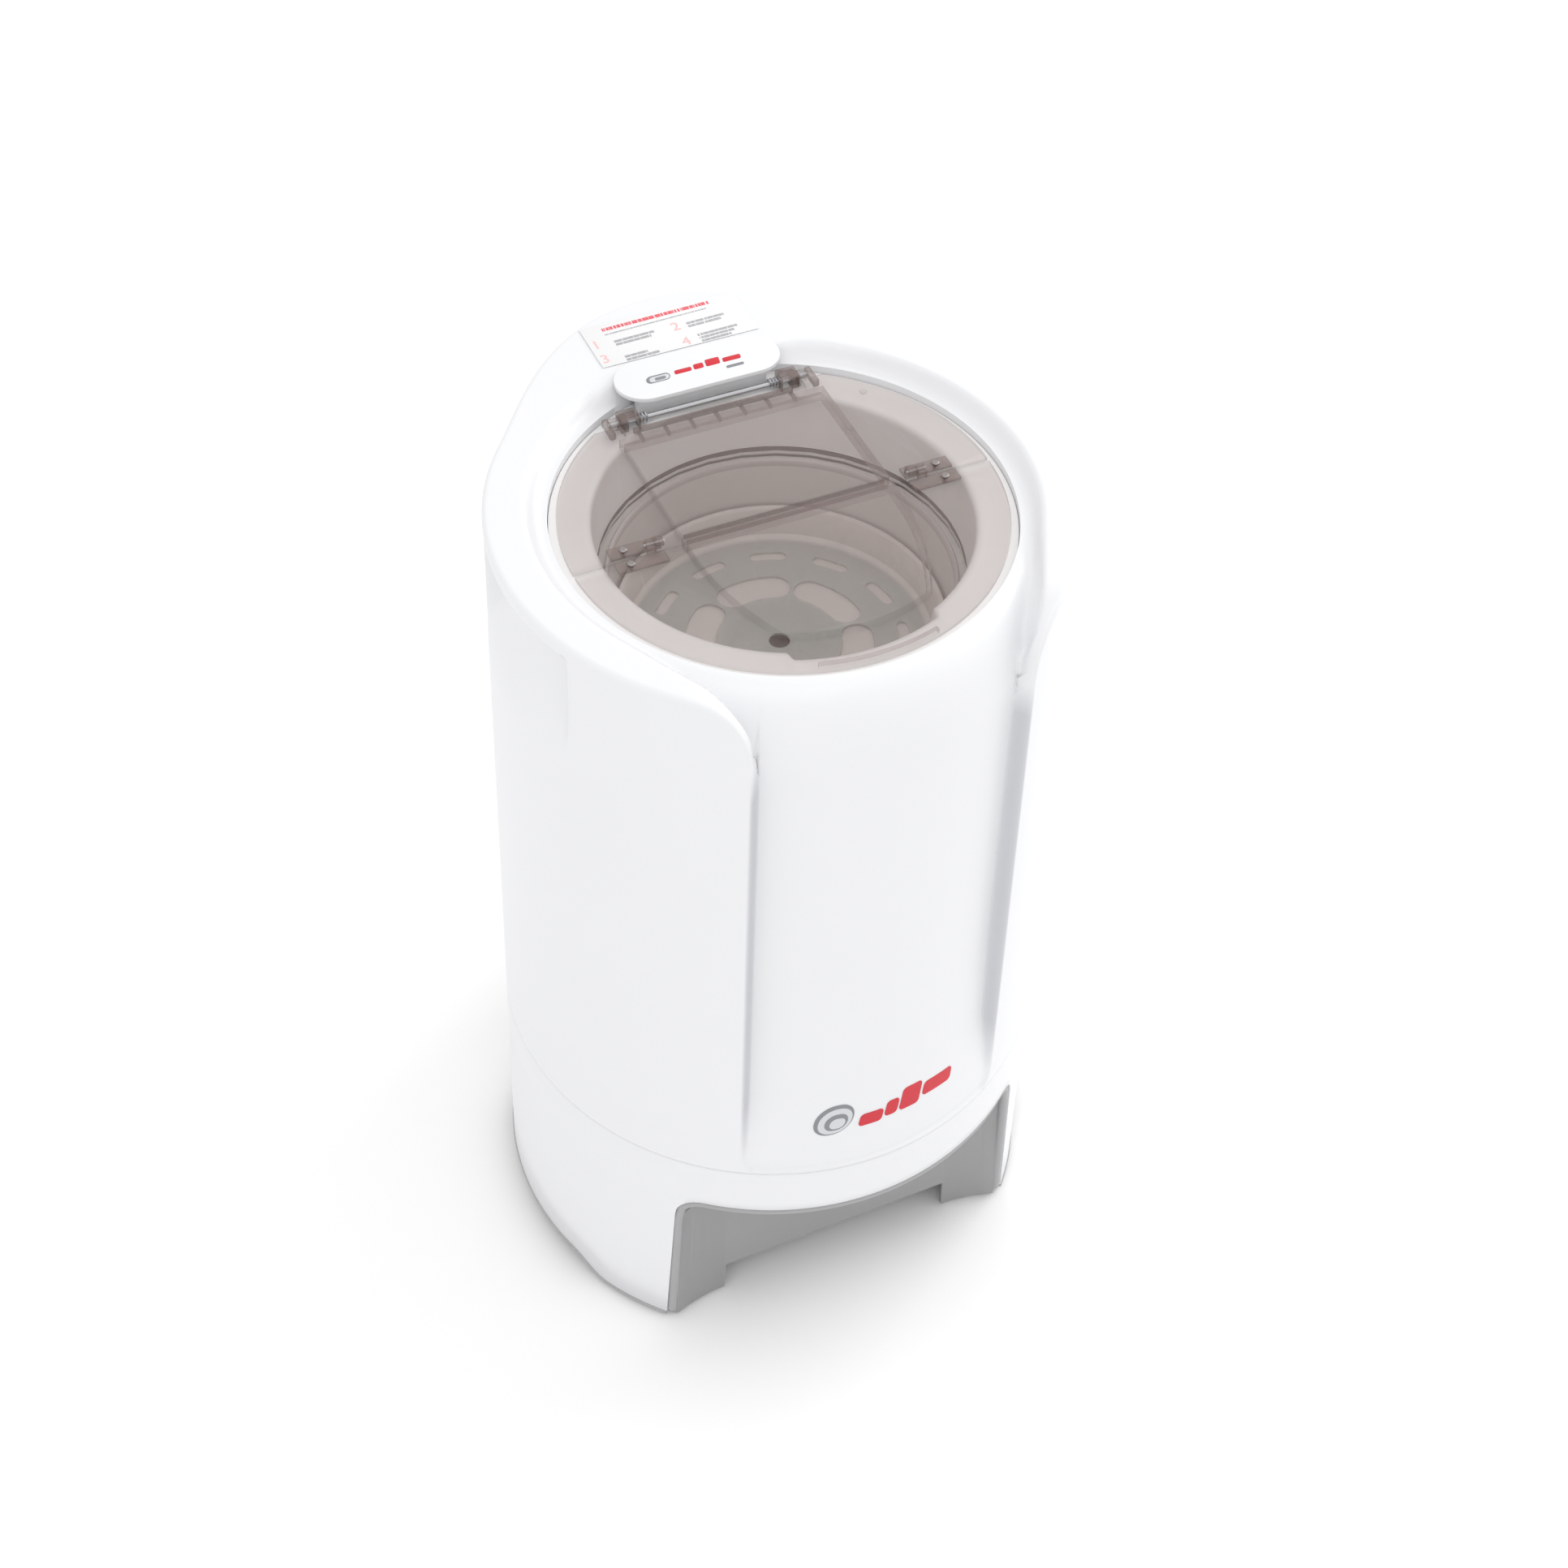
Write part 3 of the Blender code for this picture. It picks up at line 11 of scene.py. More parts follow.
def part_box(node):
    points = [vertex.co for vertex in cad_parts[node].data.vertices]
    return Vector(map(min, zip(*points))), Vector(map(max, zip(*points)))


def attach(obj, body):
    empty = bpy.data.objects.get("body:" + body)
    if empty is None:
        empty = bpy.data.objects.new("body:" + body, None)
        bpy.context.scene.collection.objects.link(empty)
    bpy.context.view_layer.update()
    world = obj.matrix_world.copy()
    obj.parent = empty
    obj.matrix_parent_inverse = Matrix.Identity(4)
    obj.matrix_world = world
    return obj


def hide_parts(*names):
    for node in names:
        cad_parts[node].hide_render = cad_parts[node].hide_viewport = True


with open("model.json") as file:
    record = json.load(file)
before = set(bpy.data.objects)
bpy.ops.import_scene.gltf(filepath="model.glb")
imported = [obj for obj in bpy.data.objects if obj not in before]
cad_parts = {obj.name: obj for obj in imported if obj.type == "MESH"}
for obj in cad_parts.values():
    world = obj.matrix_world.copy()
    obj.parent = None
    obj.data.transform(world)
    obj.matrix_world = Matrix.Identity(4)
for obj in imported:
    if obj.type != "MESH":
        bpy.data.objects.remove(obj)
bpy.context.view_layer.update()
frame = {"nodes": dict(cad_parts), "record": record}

# Places, from the frame
AXIS_Y = sum(corner.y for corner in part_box("spin_basket")) / 2
RIM_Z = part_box("cabinet_shell")[1].z
SEAM_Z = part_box("lower_skirt")[1].z
DECK_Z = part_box("top_deck")[1].z
LID_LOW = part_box("lid_rear_panel")[0].z + 0.0002
LID_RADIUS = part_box("lid_front_panel")[1].x
HINGE_Y = sum(corner.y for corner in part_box("lid_hinge_pin")) / 2
HINGE_Z = sum(corner.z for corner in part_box("lid_hinge_pin")) / 2
FOLD_Y = sum(corner.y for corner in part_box("fold_pin_left")) / 2
COVER_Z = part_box("protective_disc")[0].z

# Cabinet
BODY_RADIUS = 0.2015
TAPER = 0.0135 / 0.660
REAR_BULGE = 0.038
BULGE_HALF = radians(52)
WALL = 0.003
PANEL_HALF = radians(30)
PANEL_INSET = 0.012
PANEL_LEDGE = (SEAM_Z + 0.0010, SEAM_Z + 0.0030)
PANEL_SWELL = (SEAM_Z + 0.004, SEAM_Z + 0.105)
PANEL_CORNER = 0.012
DOME_FOOT_Z = 0.595
DOME_TOP_Z = 0.650
LIP_RADIUS = 0.148
CREST_Z = 0.616
EDGE_ROUND = 0.0035
STEP_MIDDLE = radians(29.45)
STEP_HALF = radians(0.85)
HAND_HALF = (radians(67), radians(112))
ARCH_HALF = radians(43.5)
ARCH_TOP_Z = 0.1635
ARCH_LEAN = radians(1.8)
ARCH_CORNER = 0.022
SKIRT_FOOT_Z = 0.008
SIDE_RAISE = [radians(a) for a in (61, 71, 112, 122)]
OPEN_RADIUS = 0.1207
SKIRT_EDGE_RADIUS = 0.0026
ARCH_EDGE_RADIUS = 0.0052
MARK_RADIUS = 0.1855

# Print that stands on a surface
PRINT_SINK = 0.0002
PRINT_RISE = 0.00025
MARK_SLANT = 0.25
FIGURE_SIZE = 0.0122

# Lid
SHEET = 0.0027
BRIDGE_RISE = 0.010
BRIDGE_HOLLOW = 0.0076
BRIDGE_WALL = 0.0024
BRIDGE_HALF = 0.072
FOLD_GAP = 0.0015
LID_EDGE = 0.0005
SCREW_X = 0.1075
SCREW_FROM_FOLD = 0.0068
SCREW_HOLE_RADIUS = 0.0016
HINGE_HALF = 0.0637
PIN_HOLE_RADIUS = 0.0023
KNUCKLE_RADIUS = 0.0042

# Basket and cover
BASKET_RADIUS = 0.1120
BASKET_WALL = 0.0012
BASKET_BORE = 0.0063
HOLE_ROWS = 10
HOLES_ROUND = 24
HOLE_PITCH = 0.030
HOLE_RADIUS = 0.0022
COVER_BORE = 0.007
COVER_WALL = 0.002


def ease(value, low, high):
    t = min(1.0, max(0.0, (value - low) / (high - low)))
    return t * t * (3 - 2 * t)


def around(radius, angle, z):
    """A point at a radius and an angle from the front, about the basket's axis."""
    return Vector((radius * sin(angle), AXIS_Y - radius * cos(angle), z))


def body_radius(angle, z):
    past = max(0.0, abs(angle) - (pi - BULGE_HALF))
    return BODY_RADIUS - TAPER * z + REAR_BULGE * 0.5 * (1 - cos(pi * past / BULGE_HALF))


# Materials


class Value:
    """A number on its way through a material, so that shader maths reads as sums."""

    def __init__(self, finish, socket):
        self.finish = finish
        self.socket = socket

    def maths(self, operation, *others):
        return self.finish.node("ShaderNodeMath", {"operation": operation}, dict(enumerate((self, *others))))

    def __add__(self, other):
        return self.maths("ADD", other)

    def __sub__(self, other):
        return self.maths("SUBTRACT", other)

    def __rsub__(self, other):
        return self.finish.node("ShaderNodeMath", {"operation": "SUBTRACT"}, {0: other, 1: self})

    def __mul__(self, other):
        return self.maths("MULTIPLY", other)

    def __truediv__(self, other):
        return self.maths("DIVIDE", other)

    def __pow__(self, other):
        return self.maths("POWER", other)

    def __abs__(self):
        return self.maths("ABSOLUTE")

    def above(self, limit):
        return self.maths("GREATER_THAN", limit)

    def below(self, limit):
        return self.maths("LESS_THAN", limit)

    def held(self):
        """Held between 0 and 1."""
        return self.maths("MINIMUM", 1.0).maths("MAXIMUM", 0.0)

    __radd__ = __add__
    __rmul__ = __mul__


class Finish:
    """A material made of nodes round one Principled shader."""

    def __init__(self, name, colour, roughness, metallic=0.0, **sockets):
        self.material = bpy.data.materials.new(name)
        self.material.use_nodes = True
        self.tree = self.material.node_tree
        self.shader = self.tree.nodes["Principled BSDF"]
        self.set("Base Color", (*colour, 1.0))
        self.set("Roughness", roughness)
        self.set("Metallic", metallic)
        for socket, value in sockets.items():
            self.set(socket.replace("_", " "), value)

    def node(self, kind, settings=None, inputs=None, output=0):
        made = self.tree.nodes.new(kind)
        for key, value in (settings or {}).items():
            setattr(made, key, value)
        for key, value in (inputs or {}).items():
            if isinstance(value, Value):
                self.tree.links.new(value.socket, made.inputs[key])
            else:
                made.inputs[key].default_value = value
        return Value(self, made.outputs[output])

    def set(self, socket, value):
        if isinstance(value, Value):
            self.tree.links.new(value.socket, self.shader.inputs[socket])
        else:
            self.shader.inputs[socket].default_value = value

    def place(self, scale=(1, 1, 1), shift=(0, 0, 0)):
        """Object coordinates, stretched and moved."""
        object_place = self.node("ShaderNodeTexCoord", output="Object")
        inputs = {"Vector": object_place, "Scale": scale, "Location": shift}
        return self.node("ShaderNodeMapping", None, inputs)

    def along(self, axis):
        """The object coordinate along one axis."""
        return self.node("ShaderNodeSeparateXYZ", None, {0: self.place()}, output=axis)

    def colour(self):
        """What feeds the shader's colour so far."""
        return Value(self, self.shader.inputs["Base Color"].links[0].from_socket)

    def noise(self, scale, detail=2.0, stretch=(1, 1, 1), rough=0.5):
        return self.node("ShaderNodeTexNoise", None, {"Vector": self.place(stretch), "Scale": scale,
                                                      "Detail": detail, "Roughness": rough})

    def mix(self, share, low, high):
        """A colour between two, by a share."""
        node = self.tree.nodes.new("ShaderNodeMix")
        node.data_type = "RGBA"
        for key, value in ((0, share), (6, low), (7, high)):
            if isinstance(value, Value):
                self.tree.links.new(value.socket, node.inputs[key])
            else:
                node.inputs[key].default_value = value if key == 0 else (*value[:3], 1.0)
        return Value(self, node.outputs[2])

    def bump(self, height, strength, depth=0.001):
        self.set("Normal", self.node("ShaderNodeBump", None, {"Height": height, "Strength": strength,
                                                              "Distance": depth}))


def moulded(name, colour, roughness, grain, depth, cloud=0.03, **sockets):
    """Moulded plastic: a fine grain, slightly uneven gloss and a faint change of tone."""
    finish = Finish(name, colour, roughness, **sockets)
    tone = finish.noise(9.0, 3.0)
    darker = [c * (1 - cloud) for c in colour]
    lighter = [min(1.0, c * (1 + cloud)) for c in colour]
    finish.set("Base Color", finish.mix(tone, darker, lighter))
    fine = finish.noise(grain, 3.0)
    finish.set("Roughness", roughness - 0.04 + fine * 0.08 + tone * 0.04)
    finish.bump(fine, depth, 0.0004)
    return finish


def cabinet_plastic(name, colour, roughness):
    """The cabinet's satin plastic, with painted shade: a grey band along the step beside the front panel."""
    finish = moulded(name, colour, roughness, 1500.0, 0.05, 0.012, Coat_Weight=0.15, Coat_Roughness=0.2)
    x, y, z = [finish.along(axis) for axis in "XYZ"]
    # Painted shade: the step wall beside the front panel is darkened towards grey, fading out near the seam and
    # below the dome.
    turn = finish.node("ShaderNodeMath", {"operation": "ARCTAN2"}, {0: abs(x), 1: AXIS_Y - y})
    off = abs(turn - STEP_MIDDLE) * (1 / STEP_HALF)
    low = ((DOME_FOOT_Z + 0.012 - z) * 40.0).held()
    fade = ((z - SEAM_Z - 0.015) * 18.0).held()
    shade = (1 - off * off).maths("MAXIMUM", 0.0) * low * fade
    finish.set("Base Color", finish.mix(shade * 0.85, finish.colour(), (0.50, 0.51, 0.54)))
    return finish


def tinted_cover(name):
    """Greenish clear plastic, its sloping rim painted paler, pinkish and less clear."""
    finish = Finish(name, (0.60, 0.62, 0.58), 0.25, IOR=1.49)
    x, y = [finish.along(axis) for axis in "XY"]
    away = (x * x + (y - AXIS_Y) * (y - AXIS_Y)) ** 0.5
    rim = ((away - 0.0975) * 400.0).held()
    cloud = finish.noise(28.0, 3.0)
    finish.set("Base Color", finish.mix(rim, (0.61, 0.635, 0.60), (0.80, 0.745, 0.715)))
    finish.set("Alpha", 0.52 + rim * 0.20 + cloud * 0.05)
    finish.set("Roughness", 0.20 + cloud * 0.12)
    finish.bump(finish.noise(420.0, 2.0), 0.06, 0.0004)
    return finish


def metal(name, colour, roughness, stretch, grain=260.0, depth=0.12, metallic=1.0):
    """Metal drawn or ground along one direction."""
    finish = Finish(name, colour, roughness, metallic)
    lines = finish.noise(grain, 4.0, stretch, 0.65)
    broad = finish.noise(16.0, 2.0)
    lighter = [min(1.0, c * 1.1) for c in colour]
    finish.set("Base Color", finish.mix(lines, [c * 0.82 for c in colour], lighter))
    finish.set("Roughness", roughness - 0.08 + lines * 0.18 + broad * 0.08)
    finish.bump(lines, depth, 0.0003)
    return finish


def see_through(name, colour, face, edge, roughness=0.06):
    """Tinted clear plastic: thin where it is seen square on, denser along its edges."""
    finish = Finish(name, colour, roughness, IOR=1.49)
    facing = finish.node("ShaderNodeLayerWeight", None, {"Blend": 0.35}, output="Facing")
    smear = finish.noise(30.0, 3.0)
    finish.set("Alpha", face + (facing ** 1.7) * (edge - face) + smear * 0.015)
    finish.set("Roughness", roughness + smear * 0.05)
    finish.set("Base Color", finish.mix(facing, colour, [c * 0.55 for c in colour]))
    return finish


def basket_steel(name):
    """Drawn steel, with painted shade darkening the rim's top and painted light making it lighter and less
    metallic below the cover.
    """
    finish = metal(name, (0.78, 0.75, 0.73), 0.42, (1, 1, 14), metallic=0.45)
    z = finish.along("Z")
    # Painted light: below the cover the steel turns paler and less metallic.
    below = ((COVER_Z - z) * 120.0).held()
    # Painted shade: the top of the rim is darkened.
    rim = z.above(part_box("spin_basket")[1].z - 0.0052)
    above = finish.mix(rim, finish.colour(), (0.50, 0.46, 0.445))
    finish.set("Base Color", finish.mix(below, above, (0.94, 0.92, 0.90)))
    finish.set("Metallic", 0.45 - below * 0.40 - rim * 0.25)
    return finish


def wound_copper(name):
    finish = Finish(name, (0.45, 0.17, 0.06), 0.38, metallic=0.85)
    turns = (finish.along("Z") * 5200.0).maths("SINE") * 0.5 + 0.5
    finish.set("Base Color", finish.mix(turns, (0.20, 0.06, 0.02), (0.66, 0.28, 0.11)))
    finish.set("Roughness", 0.32 + turns * 0.16)
    finish.bump(turns, 0.6, 0.0004)
    return finish


def stacked_iron(name):
    finish = Finish(name, (0.10, 0.10, 0.11), 0.5, metallic=0.9)
    sheets = (finish.along("Z") * 6200.0).maths("SINE") * 0.5 + 0.5
    stain = finish.noise(60.0, 4.0)
    finish.set("Base Color", finish.mix(stain, (0.06, 0.06, 0.065), (0.20, 0.19, 0.19)))
    finish.set("Roughness", 0.42 + stain * 0.2)
    finish.bump(sheets, 0.5, 0.0003)
    return finish


def rubber(name):
    finish = Finish(name, (0.035, 0.035, 0.037), 0.75)
    grain = finish.noise(900.0, 4.0)
    dust = finish.noise(35.0, 4.0)
    finish.set("Base Color", finish.mix(dust, (0.022, 0.022, 0.024), (0.075, 0.073, 0.072)))
    finish.set("Roughness", 0.66 + dust * 0.2)
    finish.bump(grain, 0.35, 0.0004)
    return finish


# Each block of print: its figure, left end, right end, first row and number of rows
LABEL_BLOCKS = (((-0.0545, 0.1884), -0.0390, -0.0100, 0.1878, 2),
                ((0.0020, 0.1870), 0.0130, 0.0440, 0.1868, 2),
                ((-0.0545, 0.1722), -0.0385, -0.0150, 0.1700, 3),
                ((0.0025, 0.1696), 0.0150, 0.0440, 0.1722, 3))


def printed_film(name):
    """White film with a red heading, a thin grey line of print and four short blocks, all as plain dashes."""
    finish = Finish(name, (0.90, 0.90, 0.90), 0.32)
    x, y = [finish.along(axis) for axis in "XY"]
    y = y - AXIS_Y - (x * 0.02)

    def dashes(left, right, middle, half, pitch, share, seed):
        """One printed line: dashes of uneven length."""
        inside = x.above(left) * x.below(right) * abs(y - middle).below(half)
        word = finish.node("ShaderNodeTexNoise", {"noise_dimensions": "1D"},
                           {"W": x * pitch + seed, "Scale": 1.0, "Detail": 2.0})
        return inside * word.above(share)

    heading = dashes(-0.042, 0.036, 0.2025, 0.0017, 900.0, 0.41, 3.0)
    grey = dashes(-0.042, 0.032, 0.1970, 0.0007, 1700.0, 0.41, 9.0)
    for block, (_, left, right, top, rows) in enumerate(LABEL_BLOCKS):
        for row in range(rows):
            end = right - 0.0035 * ((row + block) % 3)
            grey = grey + dashes(left, end, top - 0.0034 * row, 0.00125, 1100.0, 0.33, 5.0 * block + row)
    fine = finish.noise(1200.0, 2.0)
    paper = finish.mix(fine, (0.79, 0.79, 0.795), (0.82, 0.82, 0.82))
    printed = finish.mix(heading, paper, (0.74, 0.10, 0.13))
    finish.set("Base Color", finish.mix(grey.maths("MINIMUM", 1.0) * 0.8, printed, (0.30, 0.30, 0.32)))
    finish.set("Roughness", 0.26 + fine * 0.1)
    return finish


WHITE = cabinet_plastic("satin_white_plastic", (0.79, 0.795, 0.81), 0.36)
DECK_WHITE = moulded("deck_white_plastic", (0.89, 0.875, 0.87), 0.32, 1500.0, 0.05, 0.015)
GREY = moulded("grained_grey_plastic", (0.305, 0.305, 0.31), 0.46, 1100.0, 0.22, 0.05)
TRIM = moulded("smooth_grey_edge", (0.36, 0.36, 0.365), 0.40, 1400.0, 0.10, 0.03)
INNER = moulded("natural_white_plastic", (0.80, 0.79, 0.77), 0.48, 700.0, 0.12, 0.03)
DARK = moulded("dark_plastic", (0.045, 0.045, 0.05), 0.45, 900.0, 0.2, 0.10)
SMOKE = see_through("smoked_clear_plastic", (0.42, 0.335, 0.315), 0.105, 0.90)
SMOKE_DENSE = see_through("smoked_clear_block", (0.30, 0.225, 0.205), 0.30, 0.86, 0.10)
MINT = tinted_cover("greenish_clear_plastic")
MILKY = see_through("milky_backing", (0.84, 0.78, 0.75), 0.86, 0.92, 0.35)
STAINLESS = basket_steel("drawn_stainless_steel")
SCREW_STEEL = metal("dull_screw_steel", (0.34, 0.31, 0.30), 0.42, (6, 1, 1), 320.0, 0.06)
BRIGHT = metal("zinc_plated_steel", (0.66, 0.66, 0.68), 0.28, (6, 1, 1), 320.0, 0.06)
CAST = metal("cast_aluminium", (0.55, 0.55, 0.56), 0.50, (1, 1, 1), 420.0, 0.35)
COPPER = wound_copper("wound_copper")
IRON = stacked_iron("stacked_iron")
BLACK = rubber("black_rubber")
FILM = printed_film("printed_film")
RED = moulded("red_ink", (0.60, 0.014, 0.028), 0.34, 1300.0, 0.05, 0.03)
PALE_RED = moulded("pale_red_ink", (0.86, 0.50, 0.50), 0.36, 1300.0, 0.04, 0.03)
SILVER = moulded("silver_grey_ink", (0.23, 0.24, 0.255), 0.30, 1300.0, 0.05, 0.05)
PALE_SILVER = moulded("pale_silver_ink", (0.62, 0.63, 0.65), 0.28, 1300.0, 0.05, 0.05)

SLOT_FINISH = {"cabinet_white": WHITE, "base_grey": GREY, "smoked_clear": SMOKE_DENSE, "disc_clear": MINT,
               "label_film": FILM, "inner_white": INNER, "stainless": STAINLESS, "bright_steel": BRIGHT,
               "cast_aluminium": CAST, "winding": COPPER, "rotor_iron": IRON, "black_rubber": BLACK,
               "dark_plastic": DARK}


# Modelling helpers


def deselect():
    if bpy.context.mode != "OBJECT":
        bpy.ops.object.mode_set(mode="OBJECT")
    bpy.ops.object.select_all(action="DESELECT")


def take(thing):
    """Makes one object the only selected one and the active one."""
    deselect()
    thing.select_set(True)
    bpy.context.view_layer.objects.active = thing


def edit_all(thing):
    """Opens one object in edit mode with all of it selected."""
    take(thing)
    bpy.ops.object.mode_set(mode="EDIT")
    bpy.ops.mesh.select_all(action="SELECT")


def added(name, data):
    """A new object in the scene."""
    thing = bpy.data.objects.new(name, data)
    bpy.context.scene.collection.objects.link(thing)
    return thing


def settle(thing, name, finish, body, *replaced, smooth=38):
    """Applies what is left, puts the object at the origin and lets it ride on its body."""
    take(thing)
    for modifier in list(thing.modifiers):
        bpy.ops.object.modifier_apply(modifier=modifier.name)
    bpy.ops.object.transform_apply(location=True, rotation=True, scale=True)
    thing.name = thing.data.name = name
    thing.data.materials.clear()
    thing.data.materials.append(finish.material)
    bpy.ops.object.shade_smooth_by_angle(angle=radians(smooth))
    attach(thing, body)
    if replaced:
        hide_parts(*replaced)
    return thing


def outward(thing):
    """Merges doubles and points every face outwards."""
    edit_all(thing)
    bpy.ops.mesh.remove_doubles(threshold=1e-6)
    bpy.ops.mesh.normals_make_consistent(inside=False)
    bpy.ops.object.mode_set(mode="OBJECT")
    return thing


def bevel(thing, width, segments=2, angle=32):
    modifier = thing.modifiers.new("edges", "BEVEL")
    modifier.width = width
    modifier.segments = segments
    modifier.limit_method = "ANGLE"
    modifier.angle_limit = radians(angle)
    modifier.use_clamp_overlap = True
    modifier.harden_normals = False
    return thing


def turned(profile, steps=96, closed=True, centre=(0.0, None)):
    """A circle drawn out ring by ring along a profile of (radius, height) points."""
    across, deep = centre[0], AXIS_Y if centre[1] is None else centre[1]
    deselect()
    radius, z = profile[0]
    bpy.ops.mesh.primitive_circle_add(vertices=steps, radius=radius, location=(across, deep, z))
    thing = bpy.context.object
    bpy.ops.object.mode_set(mode="EDIT")
    bpy.ops.mesh.select_all(action="SELECT")
    path = list(profile[1:]) + ([profile[0]] if closed else [])
    for next_radius, next_z in path:
        bpy.ops.mesh.extrude_edges_move(TRANSFORM_OT_translate={"value": (0, 0, next_z - z)})
        share = next_radius / radius
        bpy.ops.transform.resize(value=(share, share, 1), center_override=(across, deep, next_z))
        radius, z = next_radius, next_z
    bpy.ops.object.mode_set(mode="OBJECT")
    bpy.ops.object.transform_apply(location=True)
    return outward(thing)


def slab(outline, low, high):
    """A flat outline, filled and drawn up to a height."""
    mesh = bpy.data.meshes.new("slab")
    mesh.from_pydata([(x, y, low) for x, y in outline], [], [list(range(len(outline)))])
    thing = added("slab", mesh)
    edit_all(thing)
    bpy.ops.mesh.extrude_region_move(TRANSFORM_OT_translate={"value": (0, 0, high - low)})
    bpy.ops.object.mode_set(mode="OBJECT")
    return outward(thing)


def skin(loops):
    """A closed band of quads over loops that each run right round, the last joined to the first."""
    count = len(loops[0])
    points = [tuple(point) for loop in loops for point in loop]
    faces = []
    for row in range(len(loops)):
        above = (row + 1) % len(loops)
        for i in range(count):
            j = (i + 1) % count
            faces.append((row * count + i, row * count + j, above * count + j, above * count + i))
    mesh = bpy.data.meshes.new("skin")
    mesh.from_pydata(points, [], faces)
    return outward(added("skin", mesh))


def carve(thing, cutter, operation="DIFFERENCE"):
    take(thing)
    modifier = thing.modifiers.new("carve", "BOOLEAN")
    modifier.operation = operation
    modifier.solver = "EXACT"
    modifier.object = cutter
    bpy.ops.object.modifier_apply(modifier=modifier.name)
    bpy.data.objects.remove(cutter, do_unlink=True)
    return thing


def copy_of(node):
    """A merged copy of a frame node, with its flat faces whole again."""
    source = frame["nodes"][node]
    thing = source.copy()
    thing.data = source.data.copy()
    thing.parent = None
    thing.matrix_world = Matrix.Identity(4)
    for key in list(thing.keys()):
        del thing[key]
    bpy.context.scene.collection.objects.link(thing)
    edit_all(thing)
    bpy.ops.mesh.remove_doubles(threshold=2e-6)
    bpy.ops.mesh.dissolve_limited(angle_limit=radians(0.8))
    bpy.ops.object.mode_set(mode="OBJECT")
    return thing


def fine_angles(step=1.25, extra=()):
    whole = [radians(step * i) for i in range(int(360 / step))]
    whole = [a - 2 * pi if a > pi else a for a in whole]
    clear = [a for a in whole if all(abs(a - b) > radians(0.35) for b in extra)]
    return sorted(set(clear) | set(extra))


# Cabinet


def wing_share(angle, z=1.0):
    """0 on the front panel, 1 on the wings and the body, with a rounded step between.

    The panel's lower corners are round.
    """
    down = max(0.0, PANEL_CORNER - (z - SEAM_Z - 0.0008)) / PANEL_CORNER
    half = PANEL_HALF - PANEL_CORNER * (1 - sqrt(max(0.0, 1 - down * down))) / BODY_RADIUS
    return ease(abs(angle), half - radians(1.15), half - radians(0.05))


def panel_inset(z):
    """How far the front panel lies back: a small ledge at the seam, then a slow swell."""
    return PANEL_INSET * (0.2 * ease(z, *PANEL_LEDGE) + 0.8 * ease(z, *PANEL_SWELL))


def crest(angle):
    """Height of the rim band's outer edge: it comes down in a quarter round at the wing's end."""
    past = max(0.0, 1 - (abs(angle) - PANEL_HALF) / radians(12))
    return CREST_Z + (RIM_Z - CREST_Z) * sqrt(max(0.0, 1 - min(1.0, past) ** 2))


def dome_height(radius):
    """Height of the big rounding from the front panel to the recess of the lid."""
    run = BODY_RADIUS - TAPER * DOME_FOOT_Z - PANEL_INSET - LIP_RADIUS
    share = min(1.0, max(0.0, (radius - LIP_RADIUS) / run))
    return DOME_FOOT_Z + (DOME_TOP_Z - DOME_FOOT_Z) * sqrt(1 - share * share)


def hand_depth(angle, z):
    low, high = HAND_HALF
    share = ease(abs(angle), low, low + radians(4)) * (1 - ease(abs(angle), high - radians(4), high))
    return 0.015 * share * ease(z, 0.555, 0.613) * (1 - ease(z, 0.6462, 0.6502))


def band_inner(angle):
    outer = BODY_RADIUS - TAPER * RIM_Z - 0.0015
    narrow = max(0.0, 1 - (abs(angle) - PANEL_HALF) / radians(32)) ** 2
    return 0.163 + (outer - 0.163) * min(1.0, narrow) - 0.010 * ease(abs(angle), radians(150), radians(164))


SIDE_HEIGHTS = [0.0035 * i for i in range(16)] + [0.075, 0.11, 0.2, 0.4, 0.6, 0.74, 0.768, 0.782, 0.796, 0.81,
                0.824, 0.838, 0.852, 0.866, 0.88, 0.9, 0.93, 0.95, 0.965, 0.973, 0.979, 0.985, 0.991, 1.0]
TOP_STEPS = 26


def cabinet_section(angle):
    """Section of the shell at one angle: up the outside, over the rim to the lip, then back inside."""
    share = wing_share(angle)
    edge = DOME_FOOT_Z + (crest(angle) - EDGE_ROUND - DOME_FOOT_Z) * share
    foot = SEAM_Z + 0.0008
    section = []
    for part in SIDE_HEIGHTS:
        z = foot + (edge - foot) * part
        inset = (1 - wing_share(angle, z)) * panel_inset(z)
        section.append((body_radius(angle, z) - inset - hand_depth(angle, z), z))
    outer, top = section[-1][0], edge + EDGE_ROUND * share
    inner = min(band_inner(angle), outer - 0.006)
    foot_of_slope = max(inner - 0.012, LIP_RADIUS + 0.001)
    for i in range(1, TOP_STEPS + 1):
        part = i / TOP_STEPS
        radius = LIP_RADIUS + (outer - LIP_RADIUS) * cos(part * pi / 2)
        near = max(0.0, 1 - (outer - radius) / EDGE_ROUND)
        crown = top - EDGE_ROUND * share * (1 - sqrt(max(0.0, 1 - near * near)))
        low = dome_height(radius)
        section.append((radius, low + max(0.0, crown - low) * ease(radius, foot_of_slope, inner)))
    section[-1] = (LIP_RADIUS, DOME_TOP_Z)
    lip_under = DECK_Z - WALL
    inside = [(LIP_RADIUS, lip_under), (LIP_RADIUS + 0.008, lip_under - 0.004)]
    deep = outer - WALL - 0.016 * share
    inside += [(deep, min(edge, lip_under) - 0.030), (deep, 0.552)]
    inside += [(body_radius(angle, z) - WALL - (1 - share) * panel_inset(z), z)
               for z in (0.52, 0.40, 0.31, 0.28, 0.26, 0.24, PANEL_LEDGE[1], PANEL_LEDGE[0], foot)]
    return section + inside


